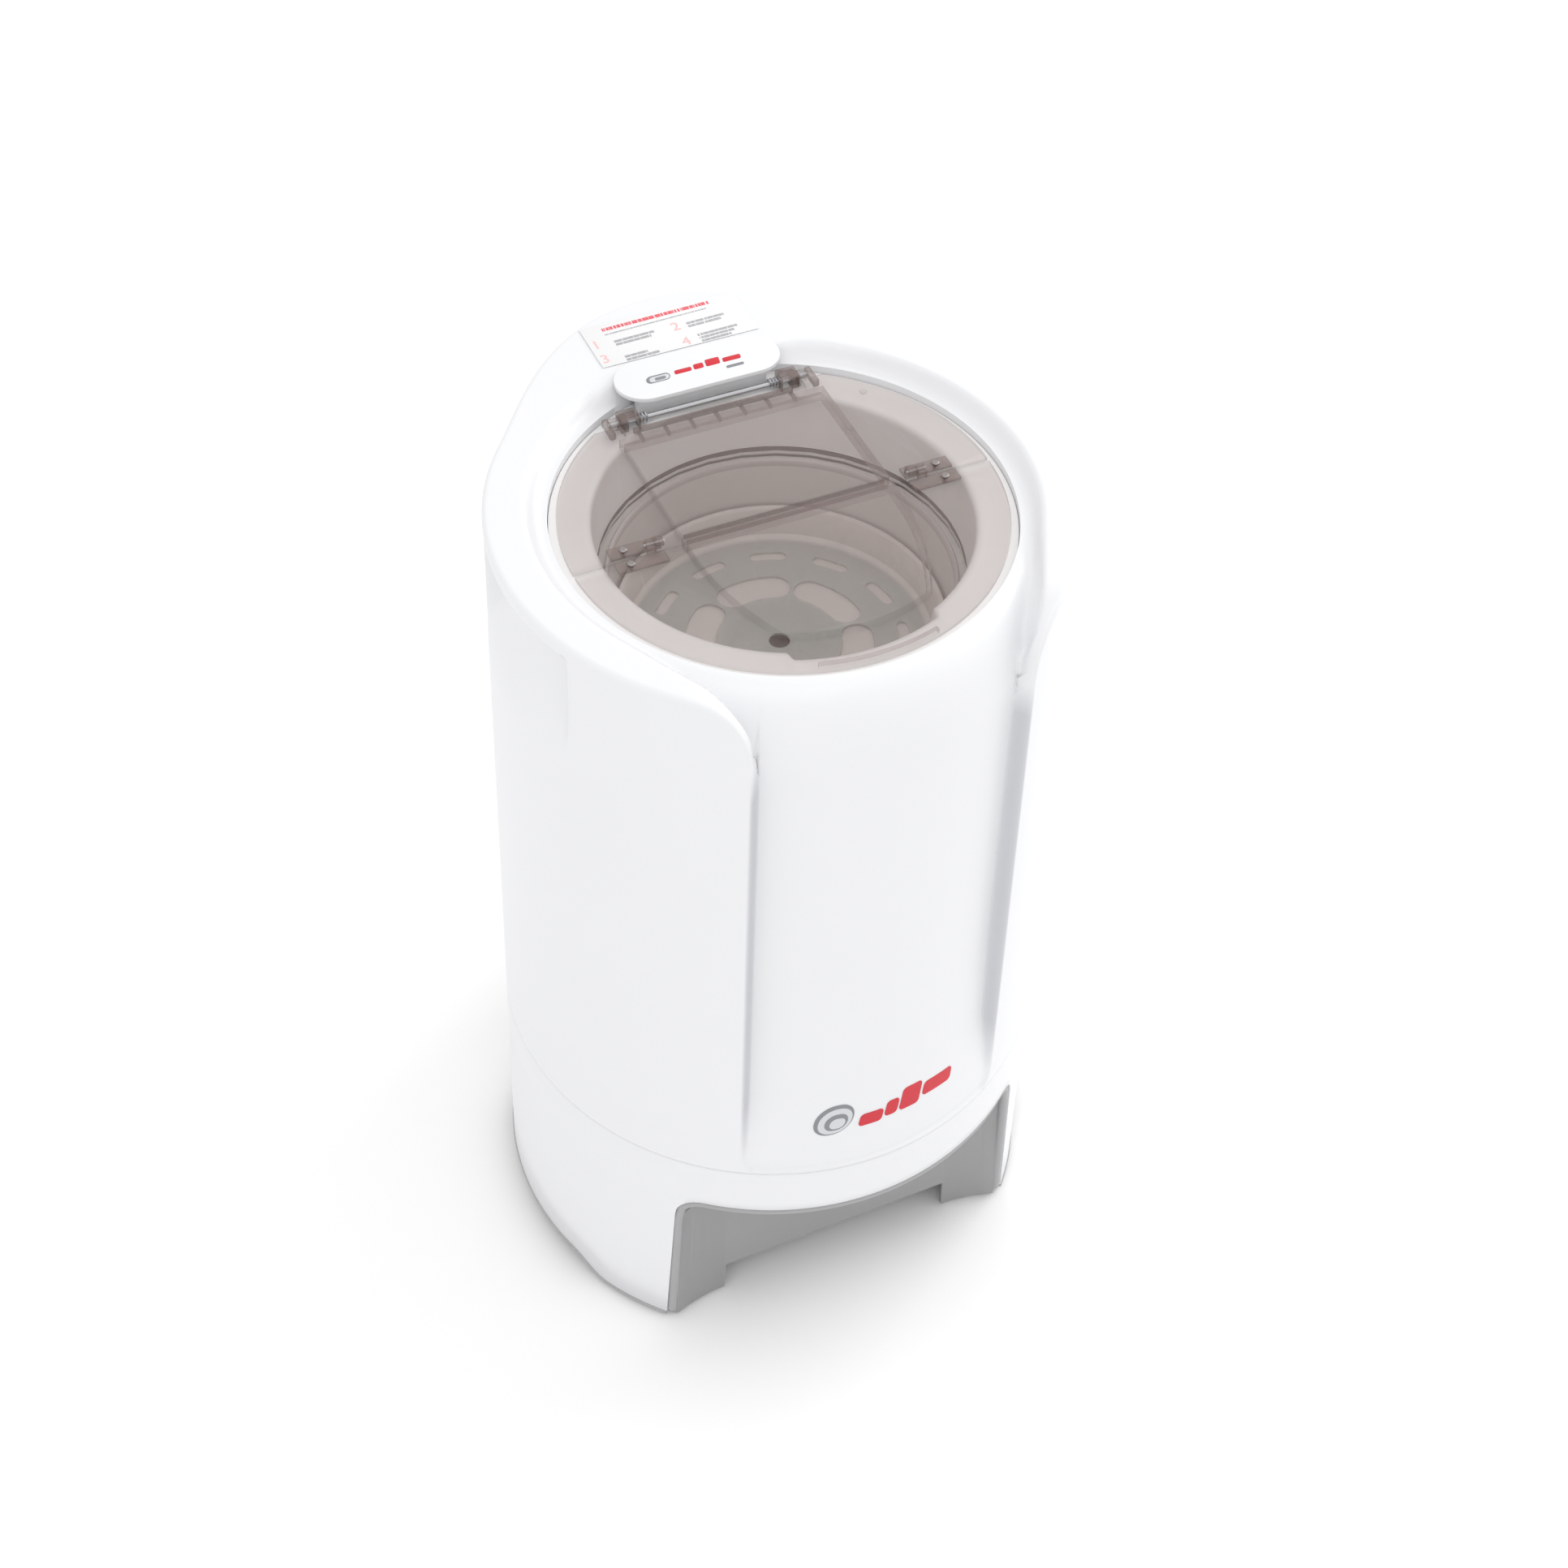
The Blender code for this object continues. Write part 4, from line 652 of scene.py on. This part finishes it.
def make_cabinet():
    """The shell's wings, dome and handholds come from one formula, as no primitive gives them."""
    near_step = (1.35, 1.2, 1.05, 0.9, 0.75, 0.6, 0.45, 0.3, 0.15, 0.0, -0.5, -1.2, -2.2, -3.4)
    steps = [PANEL_HALF - radians(d) for d in near_step]
    steps += [PANEL_HALF - radians(1.5 + 0.25 * i) for i in range(15)]
    near_hand = (0, 0.6, 1.3, 2.0, 2.7, 3.4, 4.0)
    hands = [HAND_HALF[0] + radians(d) for d in near_hand]
    hands += [HAND_HALF[1] - radians(d) for d in near_hand]
    extra = [sign * a for a in steps + hands for sign in (1, -1)]
    angles = fine_angles(1.5, tuple(extra))
    sections = [cabinet_section(angle) for angle in angles]
    loops = [[around(section[k][0], angle, section[k][1]) for angle, section in zip(angles, sections)]
             for k in range(len(sections[0]))]
    settle(skin(loops), "cabinet", WHITE, "cabinet", "cabinet_shell", smooth=60)


def skirt_foot(angle):
    inside = (ARCH_HALF - abs(angle)) * BODY_RADIUS
    if inside >= 0:
        corner = max(0.0, 1 - inside / ARCH_CORNER)
        return ARCH_TOP_Z - ARCH_CORNER * (1 - sqrt(1 - corner ** 2))
    side = ease(abs(angle), *SIDE_RAISE[:2]) * (1 - ease(abs(angle), *SIDE_RAISE[2:]))
    return SKIRT_FOOT_Z + 0.012 * side


def leaned(angle, z):
    """The arch's side edges lean outwards towards the floor."""
    near = max(0.0, 1 - abs(abs(angle) - ARCH_HALF) / radians(14))
    return angle + (ARCH_LEAN if angle > 0 else -ARCH_LEAN) * near * max(0.0, 1 - z / ARCH_TOP_Z)


def arch_angles():
    corner = [ARCH_HALF - ARCH_CORNER * s / BODY_RADIUS
              for s in (1.0, 0.8, 0.6, 0.45, 0.32, 0.22, 0.14, 0.08, 0.03, 0.0)]
    return [sign * a for a in corner + [ARCH_HALF + radians(0.4)] for sign in (1, -1)]


def make_skirt():
    angles = fine_angles(2.0, tuple(arch_angles()))
    top = SEAM_Z - 0.0002
    loops = []
    rings = ((0.0006, 0, 0), (0, 0.0007, 0), (0, 0, 0.2), (0, 0, 0.4), (0, 0, 0.6), (0, 0, 0.8),
             (0, -0.0008, 1), (0.0008, 0, 1), (WALL, 0, 1), (WALL, 0, 0.5), (WALL, 0, 0))
    for inset, low_lift, share in rings:
        loop = []
        for angle in angles:
            z = skirt_foot(angle) * (1 - share) + top * share + low_lift
            loop.append(around(body_radius(angle, z) - inset, leaned(angle, z), z))
        loops.append(loop)
    settle(skin(loops), "skirt", WHITE, "cabinet", "lower_skirt", smooth=50)


def bent_rod(route, radius, name, finish, body):
    """A round bar along a route."""
    curve = bpy.data.curves.new(name, "CURVE")
    curve.dimensions = "3D"
    curve.bevel_depth = radius
    curve.bevel_resolution = 4
    curve.use_fill_caps = True
    line = curve.splines.new("POLY")
    line.points.add(len(route) - 1)
    for spot, place in zip(line.points, route):
        spot.co = (*place, 1.0)
    take(added(name, curve))
    bpy.ops.object.convert(target="MESH")
    settle(outward(bpy.context.object), name, finish, body, smooth=50)


def make_base():
    base = bevel(copy_of("base_frame"), 0.0009, 2, 40)
    settle(base, "base", GREY, "cabinet", "base_frame", smooth=42)
    steps = 160
    route = []
    for i in range(steps + 1):
        turn = ARCH_HALF + radians(0.6) + (2 * pi - 2 * ARCH_HALF - radians(1.2)) * i / steps
        angle = turn if turn <= pi else turn - 2 * pi
        z = skirt_foot(angle)
        route.append(around(body_radius(angle, z) - 0.0017, leaned(angle, z), z - 0.0010))
    bent_rod(route, SKIRT_EDGE_RADIUS, "skirt_edge", TRIM, "cabinet")
    inset = 0.0042
    points = []
    for angle in fine_angles(2.0, tuple(arch_angles())):
        if abs(angle) > ARCH_HALF:
            continue
        z = skirt_foot(angle)
        inside = min(1.0, (ARCH_HALF - abs(angle)) * BODY_RADIUS / 0.006)
        drop = ARCH_EDGE_RADIUS * 0.80 * ease(inside, 0, 1)
        points.append(around(body_radius(angle, z) - inset, angle * (1 - 0.004), z - drop))
    legs = []
    for sign in (-1, 1):
        edge = sign * (ARCH_HALF - 0.0014 / BODY_RADIUS)
        legs.append([around(body_radius(edge, z) - inset, leaned(edge, z), z)
                     for z in (0.010, 0.05, 0.09, 0.115, 0.133)])
    route = legs[0] + points[3:-3] + legs[1][::-1]
    bent_rod(route, ARCH_EDGE_RADIUS * 0.72, "arch_edge", TRIM, "cabinet")


# Deck and console


def open_radius(angle):
    return OPEN_RADIUS + 0.0063 * (1 - ease(abs(angle), radians(21.5), radians(24)))


def make_deck():
    notch = [sign * radians(a) for sign in (1, -1) for a in (20.5, 21.3, 21.9, 22.4, 22.9, 23.4, 24.1)]
    angles = fine_angles(2.0, tuple(notch))
    loops = []
    shape = [("lip", -0.0004, -WALL), ("lip", -0.0004, 0), ("lip", -0.004, 0), ("open", 0.0075, 0),
             ("open", 0.0062, 0.0004), ("open", 0.0046, 0.0006), ("open", 0.0028, 0.0004),
             ("open", 0.0010, -0.0006), ("open", 0.0002, -0.002), ("open", 0, -0.004),
             ("collar", 0.0006, -0.0200), ("collar", 0, -0.0300), ("collar", 0, -0.0405),
             ("collar", 0.0024, -0.0405), ("collar", 0.0024, -0.0300), ("open", WALL, -0.006),
             ("open", WALL + 0.002, -WALL)]
    for kind, out, up in shape:
        base = {"lip": lambda a: LIP_RADIUS, "open": open_radius,
                "collar": lambda a: 0.1185 + 0.35 * (open_radius(a) - OPEN_RADIUS) * (up > -0.025)}[kind]
        loops.append([around(base(angle) + out, angle, DECK_Z + up) for angle in angles])
    settle(skin(loops), "deck", DECK_WHITE, "cabinet", "top_deck", smooth=50)


def stadium(half_width, half_depth, centre_y, steps=24):
    points = []
    for side in (1, -1):
        for i in range(steps + 1):
            turn = -pi / 2 + pi * i / steps
            across = half_width - half_depth + half_depth * cos(turn)
            points.append((side * across, centre_y + side * half_depth * sin(turn)))
    return points


def on_badge(outline, name, finish, low, high):
    settle(bevel(slab(outline, low, high), (high - low) * 0.45, 2, 40), name, finish, "cabinet")


def slanted(points, centre, slant=0.18):
    return [(centre[0] + x + slant * y, centre[1] + y) for x, y in points]


def rounded(half_width, half_depth, corner, steps=5):
    """Outline of a rectangle with rounded corners, about the origin."""
    points = []
    for quarter, (sx, sy) in enumerate(((1, -1), (1, 1), (-1, 1), (-1, -1))):
        for i in range(steps + 1):
            turn = -pi / 2 + pi / 2 * (quarter + i / steps)
            points.append((sx * (half_width - corner) + corner * cos(turn),
                           sy * (half_depth - corner) + corner * sin(turn)))
    return points


def make_badge():
    low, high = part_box("badge_plate")
    middle = AXIS_Y + 0.138
    plate = slab(stadium(0.0575, 0.020, middle), low.z + 0.0162, high.z)
    stand = block((-0.045, middle - 0.011, low.z), (0.045, middle - 0.0002, low.z + 0.0172))
    plate = bevel(carve(plate, stand, "UNION"), 0.0011, 4, 50)
    settle(plate, "badge", WHITE, "cabinet", "badge_plate")
    sunk, proud = high.z - PRINT_SINK, high.z + PRINT_RISE
    emblem = ((0.0084, 0.0036, SILVER), (0.0070, 0.0026, PALE_SILVER), (0.0040, 0.0016, SILVER))
    for i, (half, tall, finish) in enumerate(emblem):
        centre = (-0.0285 + 0.0006 * i, middle - 0.0020 - 0.0004 * i)
        outline = slanted(rounded(half, tall, tall * 0.96), centre)
        on_badge(outline, f"badge_emblem_{i + 1}", finish, sunk, proud + 0.00012 * i)
    bars = ((-0.0165, -0.0045, 0.0020), (-0.0028, 0.0042, 0.0026), (0.0060, 0.0160, 0.0034),
            (0.0178, 0.0306, 0.0022))
    for i, (start, end, tall) in enumerate(bars):
        bar = slanted(rounded((end - start) / 2, tall, 0.0012), ((start + end) / 2, middle - 0.0028 + tall))
        on_badge(bar, f"badge_bar_{i + 1}", RED, sunk, proud)
    bar = slanted(rounded(0.0062, 0.0013, 0.0010), (0.0235, middle - 0.0083))
    on_badge(bar, "badge_bar_5", SILVER, sunk, proud)


def make_label():
    low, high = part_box("instruction_label")
    sheet = slab([(low.x, low.y), (high.x, low.y), (high.x, high.y), (low.x, high.y)], low.z, high.z)
    settle(bevel(sheet, 0.00012, 2, 40), "label", FILM, "cabinet", "instruction_label")
    for digit, (place, *_) in zip("1234", LABEL_BLOCKS):
        deselect()
        bpy.ops.object.text_add(location=(place[0], AXIS_Y + place[1] - 0.0042, high.z - 0.0001))
        figure = bpy.context.object
        figure.data.body = digit
        figure.data.size = FIGURE_SIZE
        figure.data.extrude = 0.00018
        figure.data.bevel_depth = 0.00004
        bpy.ops.object.convert(target="MESH")
        settle(outward(bpy.context.object), f"label_figure_{digit}", PALE_RED, "cabinet")


def on_panel(points, name, finish, lift):
    """A thin printed shape that follows the curve of the front panel. Points are (arc length, height)."""
    thing = slab(points, 0.0, 0.0004)
    edit_all(thing)
    bpy.ops.mesh.dissolve_limited(angle_limit=radians(0.5))
    bpy.ops.object.mode_set(mode="OBJECT")
    width = max(x for x, _ in points) - min(x for x, _ in points)
    start = min(x for x, _ in points)
    cuts = max(2, int(width / 0.004))
    bpy.ops.object.mode_set(mode="EDIT")
    for i in range(1, cuts):
        bpy.ops.mesh.select_all(action="SELECT")
        bpy.ops.mesh.bisect(plane_co=(start + width * i / cuts, 0, 0), plane_no=(1, 0, 0))
    lowest, highest = min(y for _, y in points), max(y for _, y in points)
    for i in range(1, 16):
        bpy.ops.mesh.select_all(action="SELECT")
        bpy.ops.mesh.bisect(plane_co=(0, lowest + (highest - lowest) * i / 16, 0), plane_no=(0, 1, 0))
    bpy.ops.object.mode_set(mode="OBJECT")
    for vertex in thing.data.vertices:
        x, z, out = vertex.co
        radius = body_radius(0, z) - panel_inset(z) + lift + out
        vertex.co = around(radius, x / MARK_RADIUS, z)
    settle(outward(thing), name, finish, "cabinet")


def make_front_mark():
    """A plain slanted emblem and stripe low on the front panel."""
    emblem = ((0.0138, 0.0135, SILVER), (0.0118, 0.0113, PALE_SILVER), (0.0080, 0.0072, SILVER),
              (0.0054, 0.0046, PALE_SILVER))
    for i, (half, tall, finish) in enumerate(emblem):
        centre = (-0.0350 + 0.0007 * i, 0.2565 - 0.0010 * i)
        outline = slanted(rounded(half, tall, tall * 0.96, 8), centre, MARK_SLANT)
        on_panel(outline, f"front_emblem_{i + 1}", finish, 0.00005 + 0.0002 * i)
    bars = ((-0.0170, 0.0000, 0.2450, 0.0105), (0.0025, 0.0120, 0.2470, 0.0130),
            (0.0145, 0.0300, 0.2470, 0.0190), (0.0325, 0.0570, 0.2505, 0.0115))
    for i, (start, end, foot, tall) in enumerate(bars):
        centre = ((start + end) / 2, foot + tall / 2)
        bar = slanted(rounded((end - start) / 2, tall / 2, 0.0030, 6), centre, MARK_SLANT)
        on_panel(bar, f"front_bar_{i + 1}", RED, 0.0001)


# Lid


def half_outline(side, limit=None, steps=72):
    """Half of the lid's circle, in front of the fold (-1) or behind it (1)."""
    cut_y = FOLD_Y - AXIS_Y + side * FOLD_GAP
    start = asin(cut_y / LID_RADIUS)
    points = []
    for i in range(steps + 1):
        turn = start + (pi - 2 * start) * i / steps if side > 0 else start - (pi + 2 * start) * i / steps
        x, y = LID_RADIUS * cos(turn), LID_RADIUS * sin(turn)
        if limit and y > limit:
            if points and points[-1][1] >= AXIS_Y + limit - 1e-9:
                continue
            reach = sqrt(LID_RADIUS ** 2 - limit ** 2)
            points += [(reach, AXIS_Y + limit), (-reach, AXIS_Y + limit)]
            continue
        points.append((x, AXIS_Y + y))
    return points


def bridge_outline(shrink, rear):
    """Plan of the raised middle of a lid half."""
    fold = FOLD_Y - AXIS_Y
    half = BRIDGE_HALF - shrink
    if rear:
        near, far = fold + FOLD_GAP + shrink, 0.097 - shrink
        plan = [(half, near), (half, far), (-half, far), (-half, near)]
    else:
        near = fold - FOLD_GAP - shrink
        radius = 0.117 - shrink
        tip = 0.050 - shrink
        front = asin(tip / radius)
        end = -radius * cos(front)
        side = [(half, near)]
        side += [(half + (tip - half) * (s / 12) ** 2.2, near + (end - near) * s / 12) for s in range(3, 12)]
        turns = [front * (1 - i / 12) for i in range(25)]
        arc = [(radius * sin(turn), -radius * cos(turn)) for turn in turns]
        plan = side + arc + [(-x, y) for x, y in reversed(side)]
    return [(x, AXIS_Y + y) for x, y in plan]


def screw_holes(panel, row):
    way = 1 if row == "rear" else -1
    for sign in (-1, 1):
        hole = turned([(SCREW_HOLE_RADIUS, LID_LOW - 0.004), (SCREW_HOLE_RADIUS, LID_LOW + 0.012)], 20, False,
                      (sign * SCREW_X, FOLD_Y + way * SCREW_FROM_FOLD))
        edit_all(hole)
        bpy.ops.mesh.fill_holes(sides=0)
        bpy.ops.object.mode_set(mode="OBJECT")
        carve(panel, outward(hole))


def bar_x(low, high, y, z, radius, steps=28):
    """A round bar along X."""
    deselect()
    bpy.ops.mesh.primitive_cylinder_add(vertices=steps, radius=radius, depth=high - low,
                                        location=((low + high) / 2, y, z), rotation=(0, pi / 2, 0))
    return bpy.context.object


def block(low, high):
    return slab([(low[0], low[1]), (high[0], low[1]), (high[0], high[1]), (low[0], high[1])], low[2], high[2])


def make_lid():
    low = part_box("lid_front_panel")[0].z
    front = slab(half_outline(-1), low, low + SHEET)
    carve(front, slab(bridge_outline(0, False), low, low + BRIDGE_RISE), "UNION")
    carve(front, slab(bridge_outline(BRIDGE_WALL, False), low - 0.01, low + BRIDGE_HOLLOW))
    half = asin(0.040 / LID_RADIUS)
    rim = [around(LID_RADIUS - 0.0005, -half + half * i / 12, 0) for i in range(25)]
    back = [around(LID_RADIUS - 0.0035, half - half * i / 12, 0) for i in range(25)]
    carve(front, slab([(p.x, p.y) for p in rim + back], low + 0.001, low + SHEET + 0.004), "UNION")
    screw_holes(front, "front")
    settle(bevel(front, LID_EDGE, 3, 40), "front_lid_half", SMOKE, "lid_front", "lid_front_panel")

    rear = slab(half_outline(1, 0.117), low, low + SHEET)
    carve(rear, slab(bridge_outline(0, True), low, low + BRIDGE_RISE), "UNION")
    carve(rear, slab(bridge_outline(BRIDGE_WALL, True), low - 0.01, low + BRIDGE_HOLLOW))
    cut_y = HINGE_Y - 0.0065
    carve(rear, block((-HINGE_HALF, cut_y, low - 0.01), (HINGE_HALF, cut_y + 0.08, low + 0.05)))
    for sign in (-1, 1):
        ends = sorted((sign * 0.0641, sign * 0.0701))
        arm = block((ends[0], HINGE_Y - 0.014, low + 0.0002), (ends[1], HINGE_Y, HINGE_Z + 0.0022))
        carve(rear, arm, "UNION")
        carve(rear, bar_x(ends[0], ends[1], HINGE_Y, HINGE_Z, KNUCKLE_RADIUS), "UNION")
    carve(rear, bar_x(-0.09, 0.09, HINGE_Y, HINGE_Z, PIN_HOLE_RADIUS))
    screw_holes(rear, "rear")
    settle(bevel(rear, LID_EDGE, 3, 40), "rear_lid_half", SMOKE, "lid_rear", "lid_rear_panel")

    for row, way in (("rear", 1), ("front", -1)):
        ys = sorted((FOLD_Y + way * 0.0017, FOLD_Y + way * 0.0034))
        lip = block((-0.0690, ys[0], low + 0.0048), (0.0690, ys[1], low + 0.0074))
        settle(bevel(lip, 0.0003, 2, 40), f"fold_lip_{row}", SMOKE_DENSE, f"lid_{row}")
    for side, sign in (("left", -1), ("right", 1)):
        xs = sorted((sign * 0.0500, sign * 0.0634))
        cover = block((xs[0], HINGE_Y - 0.0056, DECK_Z + 0.0006), (xs[1], HINGE_Y + 0.0062, HINGE_Z + 0.0052))
        carve(cover, block((xs[0] + 0.0012, HINGE_Y - 0.0070, DECK_Z - 0.001),
                           (xs[1] - 0.0012, HINGE_Y + 0.0050, HINGE_Z + 0.0040)))
        settle(bevel(cover, 0.0005, 2, 40), f"hinge_cover_{side}", SMOKE_DENSE, "cabinet")
        xs = sorted((sign * 0.0703, sign * 0.0742))
        cheek = block((xs[0], HINGE_Y - 0.0130, low + 0.0022), (xs[1], HINGE_Y + 0.0036, HINGE_Z + 0.0038))
        settle(bevel(cheek, 0.0009, 3, 40), f"hinge_cheek_{side}", SMOKE_DENSE, "lid_rear")

    rib_low, rib_high = low + 0.0002, low + 0.0042
    ribs = block((-0.0566, HINGE_Y - 0.0094, rib_low), (0.0566, HINGE_Y - 0.0078, rib_high))
    for i in range(7):
        x = -0.0540 + 0.018 * i
        rib = block((x - 0.0007, HINGE_Y - 0.0200, rib_low), (x + 0.0007, HINGE_Y - 0.0080, rib_high - 0.0006))
        carve(ribs, rib, "UNION")
    settle(bevel(ribs, 0.0003, 2, 40), "hinge_ribs", SMOKE_DENSE, "lid_rear")

    for side in ("left", "right"):
        for row in ("rear", "front"):
            leaf = bevel(copy_of(f"fold_leaf_{row}_{side}"), 0.00028, 2, 40)
            settle(leaf, f"fold_leaf_{side}_{row}", SMOKE_DENSE, f"lid_{row}", f"fold_leaf_{row}_{side}")
        bracket = bevel(copy_of(f"hinge_bracket_{side}"), 0.0004, 2, 40)
        settle(bracket, f"bracket_{side}", SMOKE_DENSE, "cabinet", f"hinge_bracket_{side}")


# Basket and disc


def bean(radius, width, half_angle, middle, ends=8, sides=8):
    points = []
    for side in (1, -1):
        for i in range(sides + 1):
            angle = middle + side * half_angle * (2 * i / sides - 1)
            spot = around(radius + side * width / 2, angle, 0)
            points.append((spot.x, spot.y))
        end = middle + side * half_angle
        tip = around(radius, end, 0)
        for i in range(1, ends):
            turn = pi * i / ends
            out, on = Vector((sin(end), -cos(end))), Vector((cos(end), sin(end))) * side
            spot = Vector((tip.x, tip.y)) + width / 2 * (side * cos(turn) * out + sin(turn) * on)
            points.append((spot.x, spot.y))
    return points


def make_disc():
    low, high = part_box("protective_disc")
    floor, rim, outer = low.z, high.z, high.x
    profile = [(COVER_BORE, floor), (0.095, floor), (0.100, floor + 0.0004), (0.1035, floor + 0.0040),
               (outer - 0.002, rim - 0.003), (outer - 0.0006, rim - 0.002), (outer, rim - 0.0012),
               (outer - 0.0004, rim), (outer - 0.0028, rim), (outer - 0.0040, rim - 0.0016),
               (0.1020, floor + 0.0052), (0.0985, floor + 0.0020), (COVER_BORE, floor + COVER_WALL)]
    disc = turned(profile, 120)
    outlines = [bean(0.052, 0.021, radians(17), radians(116 + 60 * i)) for i in range(6)]
    outlines += [bean(0.083, 0.0075, radians(6), radians(30 * i + 11), 6, 3) for i in range(12)]
    for outline in outlines:
        carve(disc, slab(outline, floor - 0.01, floor + 0.02))
    settle(bevel(disc, 0.0004, 2, 50), "protective_cover", MINT, "disc", "protective_disc")
    # A thin film under the cover, which closes its openings to the eye. No solid in the frame stands for it.
    under = floor - 0.0003
    film = turned([(0.034, under - 0.0008), (0.0905, under - 0.0008), (0.0905, under), (0.034, under)], 120)
    settle(film, "cover_backing", MILKY, "disc")


def make_basket():
    low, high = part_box("spin_basket")
    radius, wall, bore, foot, top = BASKET_RADIUS, BASKET_WALL, BASKET_BORE, low.z, high.z
    inner = radius - wall
    profile = [(bore, foot), (0.030, foot), (radius - 0.008, foot), (radius - 0.0035, foot + 0.0012),
               (radius - 0.0008, foot + 0.004), (radius, foot + 0.008), (radius, top - 0.005),
               (radius + 0.0004, top - 0.0036), (radius + 0.0015, top - 0.0020), (radius + 0.0020, top - 0.0010),
               (radius + 0.0012, top), (inner + 0.0012, top - 0.0006), (inner + 0.0002, top - 0.002),
               (inner, top - 0.004), (inner, foot + 0.009), (inner - 0.001, foot + 0.005),
               (inner - 0.004, foot + 0.0022), (inner - 0.009, foot + wall), (bore, foot + wall)]
    basket = turned(profile, 144)
    mesh = bmesh.new()
    for row in range(HOLE_ROWS):
        for i in range(HOLES_ROUND):
            turn = 2 * pi * (i + 0.5 * (row % 2)) / HOLES_ROUND
            spot = around(radius, turn, foot + HOLE_PITCH + HOLE_PITCH * row)
            place = Matrix.Translation(spot) @ Matrix.Rotation(turn, 4, "Z")
            place = place @ Matrix.Rotation(pi / 2, 4, "X")
            bmesh.ops.create_cone(mesh, cap_ends=True, segments=10, radius1=HOLE_RADIUS, radius2=HOLE_RADIUS,
                                  depth=0.012, matrix=place)
    data = bpy.data.meshes.new("perforation")
    mesh.to_mesh(data)
    mesh.free()
    carve(basket, outward(added("perforation", data)))
    settle(basket, "basket", STAINLESS, "drum", "spin_basket", smooth=35)


def dress_nodes():
    """Every frame node that still shows takes the finish of its slot."""
    slots = {part["node"]: part["material_slot"] for part in frame["record"]["subparts"]}
    for name, node in frame["nodes"].items():
        node.data.materials.clear()
        finish = SCREW_STEEL if name.startswith("fold_screw") else SLOT_FINISH[slots[name]]
        node.data.materials.append(finish.material)


# Room, lights and camera


def make_room():
    deselect()
    bpy.ops.mesh.primitive_plane_add(size=12, location=(0, 0, 0))
    floor = bpy.context.object
    floor.name = "floor"
    pale = Finish("pale_floor", (0.93, 0.93, 0.93), 0.9)
    cloud = pale.noise(0.6, 2.0)
    pale.set("Base Color", pale.mix(cloud, (0.95, 0.95, 0.95), (0.97, 0.97, 0.97)))
    floor.data.materials.append(pale.material)
    world = bpy.data.worlds.new("studio")
    bpy.context.scene.world = world
    world.use_nodes = True
    world.node_tree.nodes["Background"].inputs["Color"].default_value = (1.0, 1.0, 1.0, 1.0)
    world.node_tree.nodes["Background"].inputs["Strength"].default_value = 0.98
    for name, place, aim, size, power in (("key_light", (-0.6, -1.0, 2.6), (0, 0, 0.5), 1.6, 9.0),
                                          ("side_light", (1.9, 0.3, 1.6), (0, 0, 0.4), 1.4, 17.0)):
        light = bpy.data.lights.new(name, "AREA")
        light.size = size
        light.energy = power
        lamp = added(name, light)
        lamp.location = place
        lamp.rotation_euler = (Vector(aim) - Vector(place)).to_track_quat("-Z", "Y").to_euler()


def make_camera():
    camera = bpy.data.cameras.new("view")
    camera.sensor_width = 36.0
    camera.lens = 57.54
    thing = added("view", camera)
    right = Vector((0.8973, -0.4415, 0.0))
    up = Vector((0.3233, 0.6571, 0.6811))
    back = right.cross(up).normalized()
    roll = radians(-2.26)
    side = cos(roll) * right - sin(roll) * up
    above = sin(roll) * right + cos(roll) * up
    turn = Matrix((side, above, back)).transposed().to_4x4()
    thing.matrix_world = Matrix.Translation((-0.521, AXIS_Y - 1.074, 1.682)) @ turn
    bpy.context.scene.camera = thing
    bpy.context.scene.view_settings.view_transform = "Standard"


dress_nodes()
make_room()
make_camera()
make_cabinet()
make_skirt()
make_base()
make_deck()
make_badge()
make_label()
make_front_mark()
make_lid()
make_disc()
make_basket()
